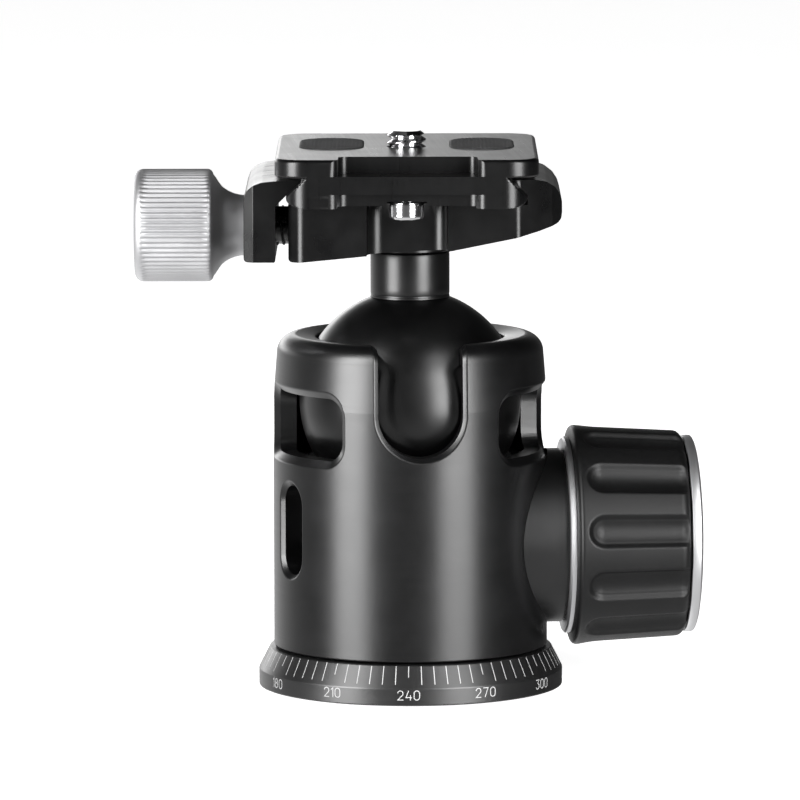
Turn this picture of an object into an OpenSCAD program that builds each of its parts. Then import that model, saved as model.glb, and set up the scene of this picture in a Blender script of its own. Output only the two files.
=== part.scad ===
// Tripod ball head: panning base, notched and windowed housing, ball with a drop notch,
// screw-knob dovetail clamp and quick release plate.
// Millimetres, +Z up. The origin is the mouth of the tripod socket, on the bottom face.
// +X is the axis of the main lock knob and -Y is the drop notch.

/* [Base] */
// Radius of the graduated base ring
base_r = 25; // [24.6:0.1:25.6]
// Height of the vertical band that carries the numbers
band_h = 2.8; // [2.5:0.1:3]
// Height of the base ring, top of the graduated cone
base_h = 6.4; // [6.2:0.05:6.4]
// Radius at the top of the graduated cone
cone_top_r = 23.15; // [22.8:0.05:23.3]
// Radius of the tapped tripod socket, at the crests of its 3/8 inch thread
socket_r = 4.0; // [3.9:0.05:4.1]

/* [Housing] */
// Outer radius of the housing
body_r = 22.5; // [22.4:0.05:22.6]
// Radius of the housing's main bore
bore_r = 18.7; // [18.65:0.05:18.8]
// Height of the crease where the straight wall turns into a cone
crease_z = 47.35; // [46.8:0.05:48.5]
// Radius of the cone just under the rounded rim
rim_r = 21.9; // [21.7:0.1:22.2]
// Height of the rim
rim_z = 58.1; // [58:0.05:58.2]
// Half width of the drop notch
notch_r = 6.9; // [6.8:0.1:7.4]
// Height of the centre of the notch's round bottom
notch_z = 46.9; // [46.2:0.1:47.1]
// Lower edge of the two side windows
win_z0 = 39.0; // [38.9:0.1:39.9]
// Upper edge of the two side windows
win_z1 = 49.2; // [48.4:0.1:49.6]
// Angle of the centre of a side window, from the notch
win_mid = 66.8; // [64:0.1:70]
// Half angle of a side window
win_half = 30.2; // [28:0.1:33]
// Angle of the lower slot, from the notch
slot_mid = 67.3; // [64:0.1:70]
// Half width of the lower slot
slot_r = 3.1; // [2.8:0.1:3.6]
// Height of the centre of the lower slot
slot_z = 26.85; // [26:0.05:27.2]
// Length of the lower slot
slot_h = 14.7; // [13.9:0.1:15.2]

/* [Ball] */
// Radius of the ball
ball_r = 18.2; // [18.1:0.05:18.2]
// Height of the ball's centre
ball_z = 47.1; // [47.1:0.05:47.2]
// Radius of the stem
stem_r = 6.5; // [6.2:0.1:6.6]
// Height of the top of the stem
stem_z = 71.65; // [71.4:0.05:71.9]

/* [Main lock] */
// Height of the main lock knob's axis
lock_z = 24.3; // [24.2:0.05:24.5]
// Radius of the housing's boss for the main knob
boss_r = 14.35; // [13.5:0.05:14.6]
// Radius of the rubber grip at its inner end
grip_r0 = 18.1; // [17.5:0.1:18.5]
// Radius of the rubber grip at its outer end
grip_r1 = 17.2; // [16.8:0.1:17.4]
// Number of finger flutes in the grip
flutes = 12; // [8:1:16]
// Slope of the wedge under the ball cup, in degrees
wedge_deg = 10; // [9:0.5:10.5]

/* [Pan lock] */
// Height of the pan lock knob's axis
pan_z = 11.9; // [11.7:0.05:12]
// Radius of the pan lock knob
pan_knob_r = 8; // [7:0.1:8.5]

/* [Clamp] */
// Turn of the clamp about the stem, in degrees
clamp_yaw = 4.7; // [0:0.1:6]
// Half length of the jaws, along the plate
jaw_half = 19; // [18:0.1:19.5]
// Height of the clamp screw's axis
clamp_z = 75.95; // [75.85:0.05:76.05]
// Radius of the knurled clamp knob
clamp_knob_r = 9.25; // [8.5:0.05:9.5]

/* [Plate] */
// Width of the plate's top
plate_w = 42.7; // [42:0.1:43]
// Length of the plate
plate_l = 50; // [48:0.5:52]
// Height of the plate's bottom face
plate_z0 = 80.95; // [80.9:0.05:81.05]
// Height of the plate's top face
plate_z1 = 88.85; // [88.75:0.05:89]
// Half width of the dovetail at its neck
neck_half = 16.2; // [16.1:0.05:16.3]
// Radius of the camera screw, 1/4 inch thread
cam_r = 3.175; // [3.1:0.025:3.2]

/* [Hidden] */
$fn = 96;
e = 0.02;
wall_turn = 0.9;             // turn of the windows and the slot about the housing's axis
plate_cx = -0.5;             // the plate sits this far off the stem's axis
neck_z = 85.85;              // height of the dovetail's neck
foot_h = 1.6;             // height of the foot below the 45 degree flank
flank = neck_z - plate_z0 - foot_h;
foot_half = neck_half + flank;
jaw_top = 85.05;
wedge_z = 27.3;           // height of the wedge's top over the axis
tw = tan(wedge_deg);

function arc(cx, cy, r, a0, a1, n) = [for (i = [0:n]) let (a = a0 + (a1 - a0) * i / n) [cx + r * cos(a), cy + r * sin(a)]];

// a solid turned about +X through (y 0, z h): profile points are [x, radius]
module turned_x(h, pts) { translate([0, 0, h]) rotate([0, 90, 0]) rotate_extrude() polygon([for (p = pts) [p[1], p[0]]]); }
// a solid turned about +Y through (x 0, z h): profile points are [y, radius]
module turned_y(h, pts) { translate([0, 0, h]) rotate([-90, 0, 0]) rotate_extrude() polygon([for (p = pts) [p[1], p[0]]]); }
module rod_x(x0, x1, h, r, y = 0) { translate([x0, y, h]) rotate([0, 90, 0]) cylinder(r = r, h = x1 - x0); }
module rod_y(y0, y1, h, r, x = 0) { translate([x, y0, h]) rotate([-90, 0, 0]) cylinder(r = r, h = y1 - y0); }
module ring(r0, r1, z0, z1) { difference() { translate([0, 0, z0]) cylinder(r = r1, h = z1 - z0); translate([0, 0, z0 - 1]) cylinder(r = r0, h = z1 - z0 + 2); } }
module block(x0, x1, y0, y1, z0, z1) { translate([x0, y0, z0]) cube([x1 - x0, y1 - y0, z1 - z0]); }
// a prism along Y whose section is a polygon in [x, z]
module prism_y(y0, y1, pts) { translate([0, y1, 0]) rotate([90, 0, 0]) linear_extrude(height = y1 - y0) polygon(pts); }
module at_clamp() { rotate([0, 0, -clamp_yaw]) children(); }
// place children in the direction a degrees round from the notch, towards -X for positive a
module around(a) { rotate([0, 0, -a]) children(); }

// a coil of round wire along +Z from z 0 to h, swept from its own helix
module coil(mean_r, wire_r, h, turns, per = 14, sides = 6) {
    n = turns * per;
    pts = [for (i = [0:n]) let (a = 360 * i / per, z = wire_r + (h - 2 * wire_r) * i / n)
        for (k = [0:sides - 1]) let (b = 360 * k / sides, rr = mean_r + wire_r * cos(b))
            [rr * cos(a), rr * sin(a), z + wire_r * sin(b)]];
    faces = concat(
        [[for (k = [0:sides - 1]) k]],
        [for (i = [0:n - 1]) for (k = [0:sides - 1]) [i * sides + k, (i + 1) * sides + k, (i + 1) * sides + (k + 1) % sides, i * sides + (k + 1) % sides]],
        [[for (k = [sides - 1:-1:0]) n * sides + k]]);
    polyhedron(points = pts, faces = faces, convexity = 10);
}

// ---------- base, fixed to the tripod ----------

module base_ring() {
    color([0.09, 0.09, 0.1]) difference() {
        union() {
            rotate_extrude() polygon([[0, 0], [base_r - 0.15, 0], [base_r, 0.15], [base_r, band_h], [cone_top_r, base_h], [0, base_h]]);
            translate([0, 0, 5]) cylinder(r = 12, h = 3.6);
        }
        // the tripod insert's seat
        translate([0, 0, -1]) cylinder(r = 7.05, h = 12);
        // shallow annular relief in the bottom face
        ring(12, 18, -1, 0.6);
        // tapped holes of the flange screws
        for (a = [45:90:315]) rotate([0, 0, a]) translate([9.5, 0, 3.8]) cylinder(r = 1.3, h = 6);
    }
}

module tripod_insert() {
    color([0.62, 0.62, 0.6]) difference() {
        union() { translate([0, 0, 0]) cylinder(r = 7, h = 12.7); }
        translate([0, 0, -1]) cylinder(r = socket_r, h = 15);
    }
}

module pan_flange() {
    color([0.5, 0.5, 0.52]) difference() {
        translate([0, 0, 8.62]) cylinder(r = 15, h = 4.36);
        translate([0, 0, 8]) cylinder(r = 7.05, h = 6);
        for (a = [45:90:315]) rotate([0, 0, a]) translate([9.5, 0, 0]) {
            translate([0, 0, 8]) cylinder(r = 1.65, h = 6);
            translate([0, 0, 11.2]) cylinder(r = 2.45, h = 3);
        }
    }
}

module flange_screws() {
    color([0.2, 0.2, 0.2]) for (a = [45:90:315]) rotate([0, 0, a]) translate([9.5, 0, 0]) difference() {
        union() { translate([0, 0, 4]) cylinder(r = 1.25, h = 8); translate([0, 0, 11.25]) cylinder(r = 2.35, h = 1.6); }
        translate([0, 0, 12]) cylinder(r = 1.1, h = 2, $fn = 6);
    }
}

module pan_washers() {
    color([0.85, 0.83, 0.76]) { ring(12.5, 14.9, 8.23, 8.58); ring(7.4, 14.9, 13.02, 13.36); }
}

// ---------- housing, pans on the base ----------

module window_cut(mid) {
    r3 = 3;
    z0 = win_z0; z1 = win_z1;
    ang = asin(r3 / 20.6);
    around(mid) rotate([0, 0, -90]) {
        rotate([0, 0, -win_half + ang]) rotate_extrude(angle = 2 * (win_half - ang)) translate([15, z0]) square([12, z1 - z0]);
        rotate([0, 0, -win_half]) rotate_extrude(angle = 2 * win_half) translate([15, z0 + r3]) square([12, z1 - z0 - 2 * r3]);
        for (s = [-1, 1]) for (z = [z0 + r3, z1 - r3]) rotate([0, 0, s * (win_half - ang)]) rod_x(15, 27, z, r3);
    }
}

module housing() {
    color([0.07, 0.07, 0.08]) difference() {
        rotate_extrude() polygon(concat(
            [[14, 6.7], [body_r - 0.25, 6.7], [body_r, 6.95], [body_r, crease_z]],
            arc(rim_r - 3, rim_z - 3, 3, 0, 90, 6),
            [[15.5, rim_z - 0.45], [14, rim_z - 0.45]]));
        // bore for the ball, its seat and the lock parts
        translate([0, 0, 5]) cylinder(r = bore_r, h = 49.6);
        translate([0, 0, ball_z]) sphere(r = ball_r + 0.15);
        translate([0, 0, ball_z]) cylinder(r = 15.5, h = 20);
        // drop notch for the stem
        rod_y(-30, -12, notch_z, notch_r);
        block(-notch_r, notch_r, -30, -12, notch_z, 70);
        prism_y(-30, -12, [[-notch_r - 0.9, 60], [-notch_r - 0.9, 57.4], [-notch_r, 55.4], [notch_r, 55.4], [notch_r + 0.9, 57.4], [notch_r + 0.9, 60]]);
        // side windows
        window_cut(win_mid - wall_turn);
        window_cut(-win_mid - wall_turn);
        // lower slot
        around(slot_mid - wall_turn) {
            for (s = [-1, 1]) rod_y(-30, -12, slot_z + s * (slot_h / 2 - slot_r), slot_r);
            block(-slot_r, slot_r, -30, -12, slot_z - slot_h / 2 + slot_r, slot_z + slot_h / 2 - slot_r);
        }
        // seats of the two bosses
        rod_x(15, 30, lock_z, 9.05);
        rod_y(15, 30, pan_z, 3.65);
    }
}

module capture_ring() {
    color([0.45, 0.45, 0.47]) difference() {
        ring(12.3, bore_r - 0.06, 6.75, 8.2);
        // two pin holes for fitting the ring
        for (s = [-1, 1]) translate([s * 15.6, 0, 5]) cylinder(r = 0.9, h = 5);
    }
}

module bearing_plate() {
    color([0.5, 0.5, 0.52]) {
        difference() {
            translate([0, 0, 13.4]) cylinder(r = bore_r - 0.06, h = 3);
            translate([0, 0, 13]) cylinder(r = 7.6, h = 5);
        }
        for (s = [-1, 1]) block(-12, 12, s * 7.9 - 1, s * 7.9 + 1, 16.2, 20.4);
    }
}

module upper_seat_ring() {
    color([0.88, 0.86, 0.8]) difference() {
        translate([0, 0, 50.2]) cylinder(r = bore_r - 0.08, h = 4.3);
        translate([0, 0, ball_z]) sphere(r = ball_r + 0.06);
        block(-notch_r - 0.4, notch_r + 0.4, -30, -8, 45, 60);
    }
}

module lock_boss() {
    color([0.07, 0.07, 0.08]) difference() {
        union() {
            difference() {
                rod_x(12, 24.6, lock_z, boss_r);
                translate([0, 0, 5]) cylinder(r = body_r + 0.04, h = 45);
            }
            rod_x(18.8, 24, lock_z, 9);
        }
        rod_x(15, 30, lock_z, 6.55);
    }
}

module lock_bushing() {
    color([0.72, 0.58, 0.3]) difference() {
        rod_x(18.85, 24.4, lock_z, 6.5);
        rod_x(15, 30, lock_z, 4.05);
    }
}

module pan_boss() {
    color([0.07, 0.07, 0.08]) difference() {
        union() {
            difference() {
                rod_y(15, 25.4, pan_z, 4.8);
                translate([0, 0, 2]) cylinder(r = body_r + 0.04, h = 20);
            }
            rod_y(18.9, 24, pan_z, 3.6);
        }
        rod_y(12, 30, pan_z, 2.55);
    }
}

module wedge_spring() {
    color([0.75, 0.75, 0.75]) translate([-18.1, 0, 21]) rotate([0, 90, 0]) coil(2.2, 0.4, 9.8, 7);
}

// ---------- lock mechanism ----------

module wedge() {
    color([0.72, 0.58, 0.3]) difference() {
        prism_y(-6.75, 6.75, [[-14, 16.45], [14.5, 16.45], [14.5, wedge_z + 14.5 * tw], [-14, wedge_z - 14 * tw]]);
        rod_x(-15, -8.2, 21, 3.1);
    }
}

module ball_cup() {
    color([0.55, 0.55, 0.57]) difference() {
        intersection() {
            translate([0, 0, 20]) cylinder(r = bore_r - 0.3, h = 18);
            prism_y(-20, 20, [[-20, wedge_z + 0.05 - 20 * tw], [20, wedge_z + 0.05 + 20 * tw], [20, 40], [-20, 40]]);
        }
        translate([0, 0, ball_z]) sphere(r = ball_r + 1);
        translate([0, 0, 20]) cylinder(r = 9, h = 15);
    }
}

module cup_liner() {
    color([0.88, 0.86, 0.8]) difference() {
        intersection() {
            translate([0, 0, ball_z]) sphere(r = ball_r + 0.95);
            translate([0, 0, 29]) cylinder(r = 16.6, h = 9);
        }
        translate([0, 0, ball_z]) sphere(r = ball_r + 0.06);
        translate([0, 0, 20]) cylinder(r = 9.6, h = 20);
    }
}

module lock_thrust_washer() {
    color([0.1, 0.1, 0.1]) difference() {
        rod_x(24.64, 25.04, lock_z, boss_r - 0.35);
        rod_x(20, 30, lock_z, 4.1);
    }
}

module lock_screw() {
    color([0.6, 0.6, 0.6]) difference() {
        union() { rod_x(15.4, 33.95, lock_z, 4); rod_x(14.55, 16, lock_z, 2.6); }
        rod_x(26, 35, lock_z, 2.05);
    }
}

module knob_core() {
    color([0.8, 0.8, 0.82]) difference() {
        union() {
            turned_x(lock_z, [[25.1, 0], [25.1, 15.9], [25.35, 16.2], [26, 16.2], [26, 0]]);
            rod_x(25.5, 45, lock_z, 13.4);
        }
        rod_x(20, 34, lock_z, 4.05);
        rod_x(30, 50, lock_z, 2.15);
        rod_x(36.05, 50, lock_z, 9);
    }
}

module knob_grip() {
    color([0.06, 0.06, 0.06]) difference() {
        turned_x(lock_z, concat([[26.05, 13.45], [26.05, 16.75], [26.3, 17.4]],
            arc(27.05, grip_r0 - 0.75, 0.75, 155, 90, 3),
            arc(43.2, grip_r1 - 1.7, 1.7, 90, 20, 4), [[45, 16], [45, 13.45]]));
        for (i = [0:flutes - 1]) translate([0, 0, lock_z]) rotate([360 / flutes * i - 9.1, 0, 0]) translate([0, 0, -lock_z]) rod_x(30, 46, lock_z + 20.4, 4);
    }
}

module knob_cap() {
    color([0.8, 0.8, 0.82]) difference() {
        turned_x(lock_z, [[42, 0], [42, 8.9], [45.05, 8.9], [45.05, 16.25], [46.4, 16.25], [46.8, 15.8], [47.2, 12.5], [47.4, 8], [47.5, 4], [47.5, 0]]);
        rod_x(41, 44.4, lock_z, 7.6);
    }
}

module knob_fixing_screw() {
    color([0.25, 0.25, 0.25]) difference() {
        union() { rod_x(27, 38, lock_z, 2); rod_x(36.1, 39.6, lock_z, 3.5); }
        translate([37.6, 0, lock_z]) rotate([0, 90, 0]) cylinder(r = 1.7, h = 4, $fn = 6);
    }
}

// ---------- pan lock ----------

module pan_collar() {
    color([0.75, 0.75, 0.76]) difference() { rod_y(25.44, 26.04, pan_z, 4.8); rod_y(20, 30, pan_z, 2.6); }
}

module pan_screw() {
    color([0.6, 0.6, 0.6]) union() { rod_y(18.8, 36, pan_z, 2.5); rod_y(17.98, 19.5, pan_z, 1.2); }
}

module pan_knob() {
    r = pan_knob_r;
    color([0.08, 0.08, 0.08]) difference() {
        turned_y(pan_z, [[26.1, 0], [26.1, 4.6], [28, 4.6], [29, r - 0.7], [29.7, r], [37.3, r], [38, r - 0.7], [38, 0]]);
        rod_y(20, 36.1, pan_z, 2.55);
        for (i = [0:15]) translate([0, 0, pan_z]) rotate([0, 22.5 * i, 0]) translate([0, 0, -pan_z]) rod_y(30.5, 40, pan_z + r + 0.5, 0.9, 0);
    }
}

module pan_brake_shoe() {
    color([0.72, 0.58, 0.3]) difference() {
        block(-3.4, 3.4, 13, 17.9, 8.9, 12.9);
        translate([0, 0, 5]) cylinder(r = 15.06, h = 12);
    }
}

// ---------- ball and stem ----------

module ball() { color([0.05, 0.05, 0.05]) translate([0, 0, ball_z]) sphere(r = ball_r); }

module stem() {
    color([0.07, 0.07, 0.08]) difference() {
        translate([0, 0, 62]) cylinder(r = stem_r, h = stem_z - 62 - 0.03);
        translate([0, 0, ball_z]) sphere(r = ball_r + 0.06);
        translate([0, 0, 66.3]) cylinder(r = 3.05, h = 8);
    }
}

// ---------- clamp ----------

module clamp_body() {
    sl = 0.05;
    color([0.08, 0.08, 0.09]) at_clamp() difference() {
        union() {
            intersection() {
                prism_y(-jaw_half, jaw_half, concat(
                    [[-19.7, 72.1], [-19.1, 71.6], [-18, 71.65], [-11.96, 72.22], [-7.1, 72.7], [6.5, 73.46], [10.4, 74.25], [17.2, 75.6], [21, 76.5], [23.1, 77.12], [24.1, 77.55], [24.55, 78.2], [24.7, 78.9]],
                    [[24.65, 81.3], [24.3, 82.4], [23.7, 83.3], [22.9, 84.05], [21.8, 84.6], [20.3, 84.88], [17.9, jaw_top - 0.1]],
                    [[plate_cx + neck_half + sl + (neck_z - jaw_top + 0.1), jaw_top - 0.1],
                     [plate_cx + foot_half + sl, plate_z0 + foot_h], [plate_cx + foot_half + sl, plate_z0 - 0.04], [-19.7, plate_z0 - 0.04]]));
                linear_extrude(height = 100) polygon([[-19.7, -18], [-18.5, -19.2], [17.6, -19.2], [23.1, -14.8], [24.7, -12.9],
                                                       [24.7, 12.9], [23.1, 14.8], [17.6, 19.2], [-18.5, 19.2], [-19.7, 18]]);
            }
            translate([0, 0, stem_z]) cylinder(r = stem_r, h = 3);
        }
        // the clamp screw's way through the floor
        translate([0, 0, 70]) cylinder(r = 3.1, h = 15);
        translate([0, 0, 76]) cylinder(r = 5.4, h = 10);
        // reliefs for the plate's stop screws
        for (s = [-1, 1]) block(plate_cx - 6, plate_cx + 6, s > 0 ? 15 : -25, s > 0 ? 25 : -15, 60, 90);
        // bores of the stud, the guide pins and their springs
        rod_x(-25, -8.9, clamp_z, 3.13);
        for (y = [-12, 12]) { rod_x(-25, -6.9, clamp_z, 1.62, y); rod_x(-25, -13.9, clamp_z, 2.3, y); }
    }
}

module clamp_screw() {
    color([0.2, 0.2, 0.2]) at_clamp() difference() {
        union() { translate([0, 0, 66.6]) cylinder(r = 3, h = 10); translate([0, 0, 76.05]) cylinder(r = 5, h = 4.6); }
        translate([0, 0, 78.2]) cylinder(r = 2.9, h = 4, $fn = 6);
    }
}

module clamp_stud() { color([0.12, 0.12, 0.12]) at_clamp() rod_x(-43.6, -9, clamp_z, 3.1); }

module guide_pins() { color([0.12, 0.12, 0.12]) at_clamp() for (y = [-12, 12]) rod_x(-26.6, -7, clamp_z, 1.6, y); }

module jaw_springs() {
    color([0.75, 0.75, 0.75]) at_clamp() for (y = [-12, 12]) translate([-21.75, y, clamp_z]) rotate([0, 90, 0]) coil(1.9, 0.22, 7.7, 7);
}

module jaw() {
    sl = 0.04;
    color([0.08, 0.08, 0.09]) at_clamp() difference() {
        intersection() {
            prism_y(-jaw_half, jaw_half, concat(
                [[-26.95, 72.4], [-26.25, 71.7], [-21.8, 71.7], [-21.8, neck_z - (21.8 + plate_cx - neck_half - sl)]],
                [[plate_cx - neck_half - sl - (neck_z - jaw_top), jaw_top]],
                [[-21.9, 84.98], [-23.9, 84.75], [-25.3, 84.25], [-26.3, 83.4], [-26.95, 82.1]]));
            linear_extrude(height = 100) polygon([[-26.95, -17.9], [-25.15, -19.2], [-10, -19.2], [-10, 19.2], [-25.15, 19.2], [-26.95, 17.9]]);
        }
        rod_x(-30, -20, clamp_z, 3.4);
        for (y = [-12, 12]) rod_x(-26.8, -20, clamp_z, 1.65, y);
    }
}

module clamp_knob() {
    r = clamp_knob_r;
    color([0.85, 0.85, 0.86]) at_clamp() difference() {
        turned_x(clamp_z, concat([[-45.1, 0], [-45.1, r - 1.3]], arc(-43.8, r - 1.3, 1.3, 180, 90, 4),
            arc(-33.25, r - 0.95, 0.95, 90, 0, 3), [[-31.77, 7.8], [-30.8, 6.4], [-29.82, 5.7], [-28.83, 5.25], [-27.85, 5.02], [-27.02, 4.95], [-27.02, 0]]));
        rod_x(-44.25, -20, clamp_z, 4.15);
    }
}

module clamp_knob_bush() {
    color([0.72, 0.58, 0.3]) at_clamp() difference() { rod_x(-44.2, -27.1, clamp_z, 4.1); rod_x(-50, -20, clamp_z, 3.15); }
}

// ---------- quick release plate ----------

// the plate's outline seen from above, with round corners
module plate_plan(hw, r, z0, z1) {
    cx = plate_cx; l = plate_l / 2; h = z1 - z0;
    union() {
        block(cx - hw, cx + hw, -l + r, l - r, z0, z1);
        block(cx - hw + r, cx + hw - r, -l, l, z0, z1);
        for (sx = [-1, 1]) for (sy = [-1, 1]) translate([cx + sx * (hw - r), sy * (l - r), z0]) cylinder(r = r, h = h);
    }
}

module plate() {
    cx = plate_cx; w = plate_w / 2; l = plate_l / 2;
    color([0.12, 0.12, 0.13]) at_clamp() difference() {
        union() {
            plate_plan(w, 5, neck_z, plate_z1);
            // dovetail foot
            intersection() {
                prism_y(-l - 1, l + 1, concat([for (i = [0:6]) [cx + foot_half - 3.4 + 3.4 * sin(15 * i), plate_z0 + 1.4 - 1.4 * cos(15 * i)]],
                    [[cx + foot_half, plate_z0 + foot_h], [cx + neck_half, neck_z], [cx + neck_half, neck_z + 0.5],
                     [cx - neck_half, neck_z + 0.5], [cx - neck_half, neck_z], [cx - foot_half, plate_z0 + foot_h]],
                    [for (i = [6:-1:0]) [cx - foot_half + 3.4 - 3.4 * sin(15 * i), plate_z0 + 1.4 - 1.4 * cos(15 * i)]]));
                plate_plan(foot_half, 3.7, plate_z0 - 0.5, neck_z + 0.5);
            }
        }
        // shallow channel along the underside
        block(cx - 11.2, cx + 11.2, -l - 1, l + 1, 80, plate_z0 + 0.36);
        // recesses in the front end face
        block(cx - 11.3, cx + 11.5, -l - 1, -l + 6.5, neck_z + 0.3, 90);
        block(cx - 11.3, cx + 11.5, -l - 1, -l + 1.6, 80, 83.26);
        // camera screw
        translate([cx, 0, 80]) cylinder(r = 3.25, h = 10);
        translate([cx, 0, 80]) cylinder(r = 6.4, h = 4.6);
        translate([cx, 0, 87.55]) cylinder(r = 3.75, h = 3);
        // stop screws
        for (s = [-1, 1]) translate([cx, s * 21.4, 0]) { translate([0, 0, 80]) cylinder(r = 1.55, h = 5.6); translate([0, 0, 80]) cylinder(r = 3.8, h = 2); }
        // seats of the rubber pads
        for (s = [-1, 1]) pad_shape(s, 0.05, plate_z1 - 0.7, 90);
    }
}

// an oblong with round ends, along Y
module pad_shape(s, grow, z0, z1) {
    r = 5.25 + grow;
    translate([plate_cx + s * 12.3, 0, z0]) union() {
        for (y = [-1.3, 8.8]) translate([0, y, 0]) cylinder(r = r, h = z1 - z0);
        translate([-r, -1.3, 0]) cube([2 * r, 10.1, z1 - z0]);
    }
}

module rubber_pads() { color([0.2, 0.2, 0.2]) at_clamp() for (s = [-1, 1]) pad_shape(s, 0, plate_z1 - 0.68, plate_z1 + 0.25); }

module stop_screws() {
    color([0.8, 0.8, 0.8]) at_clamp() for (s = [-1, 1]) translate([plate_cx, s * 21.4, 0]) difference() {
        union() {
            translate([0, 0, 78.9]) rotate_extrude() polygon(concat([[0, 0]], arc(2.35, 0.4, 0.4, -90, 0, 3), [[2.75, 3.05], [0, 3.05]]));
            translate([0, 0, 81]) cylinder(r = 1.5, h = 4.4);
        }
        translate([0, 0, 78]) cylinder(r = 1.3, h = 2.4, $fn = 6);
    }
}

module camera_screw() {
    color([0.8, 0.8, 0.8]) at_clamp() translate([plate_cx, 0, 0]) difference() {
        union() { translate([0, 0, 81.7]) cylinder(r = 6, h = 2.8); translate([0, 0, 84]) cylinder(r = 2.55, h = 5); translate([0, 0, 88.9]) cylinder(r = cam_r, h = 2.7); }
        translate([0, 0, 81]) cylinder(r = 2.75, h = 2.8, $fn = 6);
    }
}

module screw_clip() {
    color([0.3, 0.3, 0.3]) at_clamp() translate([plate_cx, 0, 0]) difference() {
        translate([0, 0, 87.65]) cylinder(r = 3.65, h = 0.55);
        translate([0, 0, 87]) cylinder(r = 2.6, h = 3);
        block(1.5, 6, -0.8, 0.8, 87, 90);
    }
}

base_ring();
tripod_insert();
pan_flange();
flange_screws();
pan_washers();
housing();
capture_ring();
bearing_plate();
upper_seat_ring();
lock_boss();
lock_bushing();
pan_boss();
wedge_spring();
wedge();
ball_cup();
cup_liner();
lock_thrust_washer();
lock_screw();
knob_core();
knob_grip();
knob_cap();
knob_fixing_screw();
pan_collar();
pan_screw();
pan_knob();
pan_brake_shoe();
ball();
stem();
clamp_body();
clamp_screw();
clamp_stud();
guide_pins();
jaw_springs();
jaw();
clamp_knob();
clamp_knob_bush();
plate();
rubber_pads();
stop_screws();
camera_screw();
screw_clip();
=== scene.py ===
import math

import bmesh
import bpy
from mathutils import Matrix, Vector


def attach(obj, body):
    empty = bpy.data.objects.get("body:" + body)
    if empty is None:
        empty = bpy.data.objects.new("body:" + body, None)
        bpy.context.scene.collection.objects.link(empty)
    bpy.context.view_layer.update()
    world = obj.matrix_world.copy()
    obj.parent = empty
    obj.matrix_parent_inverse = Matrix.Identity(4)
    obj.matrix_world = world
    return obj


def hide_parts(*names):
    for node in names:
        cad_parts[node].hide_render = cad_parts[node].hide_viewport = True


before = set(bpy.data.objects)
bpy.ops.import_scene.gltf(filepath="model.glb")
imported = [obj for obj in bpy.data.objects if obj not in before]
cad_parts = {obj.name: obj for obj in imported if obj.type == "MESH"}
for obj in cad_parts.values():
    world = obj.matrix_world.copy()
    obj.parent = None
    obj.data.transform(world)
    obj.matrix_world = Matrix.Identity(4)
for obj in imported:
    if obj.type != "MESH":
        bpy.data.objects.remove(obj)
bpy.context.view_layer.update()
scene = bpy.context.scene

PI = math.pi
MM = 0.001
YAW = -4.7          # turn of the clamp about the stem, in degrees


# ------------------------------------------------------------------ camera

def look():
    az = math.radians(-4.7)
    th, psi, rho = 0.1219325, 0.0012919, -0.0019753
    back = Vector((math.sin(az), -math.cos(az), 0))
    place = back * 1.3 + Vector((0, 0, 0.206277))
    fwd = -back * math.cos(th) - Vector((0, 0, math.sin(th)))
    right = Vector((math.cos(az), math.sin(az), 0))
    turn = Matrix.Rotation(psi, 3, "Z")
    fwd, right = turn @ fwd, turn @ right
    up = right.cross(fwd)
    right, up = right * math.cos(rho) + up * math.sin(rho), up * math.cos(rho) - right * math.sin(rho)
    cam = bpy.data.cameras.new("camera")
    cam.sensor_width = 36
    cam.lens = 358.28
    cam.clip_start, cam.clip_end = 0.05, 60
    ob = bpy.data.objects.new("camera", cam)
    scene.collection.objects.link(ob)
    ob.matrix_world = Matrix(((right.x, up.x, -fwd.x, place.x), (right.y, up.y, -fwd.y, place.y),
                              (right.z, up.z, -fwd.z, place.z), (0, 0, 0, 1)))
    scene.camera = ob


look()
scene.view_settings.view_transform = "Standard"
scene.view_settings.look = "None"
scene.view_settings.exposure = 0
scene.view_settings.gamma = 1


# ------------------------------------------------------------------ mesh tools (millimetres)

def arc(cx, cy, r, a0, a1, n):
    out = []
    for i in range(n + 1):
        a = math.radians(a0 + (a1 - a0) * i / n)
        out.append((cx + r * math.cos(a), cy + r * math.sin(a)))
    return out


def put_z(cx=0, cy=0):
    return lambda h, a, b: (cx + a, cy + b, h)


def put_x(z0, y0=0):
    return lambda h, a, b: (h, y0 + a, z0 + b)


def put_y(z0, x0=0):
    return lambda h, a, b: (x0 + a, h, z0 + b)


def yawed(v):
    a = math.radians(YAW)
    c, s = math.cos(a), math.sin(a)
    return (c * v[0] - s * v[1], s * v[0] + c * v[1], v[2])


def make(name, verts, faces, clamp=False):
    if clamp:
        verts = [yawed(v) for v in verts]
    me = bpy.data.meshes.new(name)
    me.from_pydata([(x * MM, y * MM, z * MM) for x, y, z in verts], [], faces)
    bm = bmesh.new()
    bm.from_mesh(me)
    bmesh.ops.remove_doubles(bm, verts=bm.verts, dist=2e-8)
    bmesh.ops.recalc_face_normals(bm, faces=bm.faces)
    bm.to_mesh(me)
    bm.free()
    ob = bpy.data.objects.new(name, me)
    scene.collection.objects.link(ob)
    return ob


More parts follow.
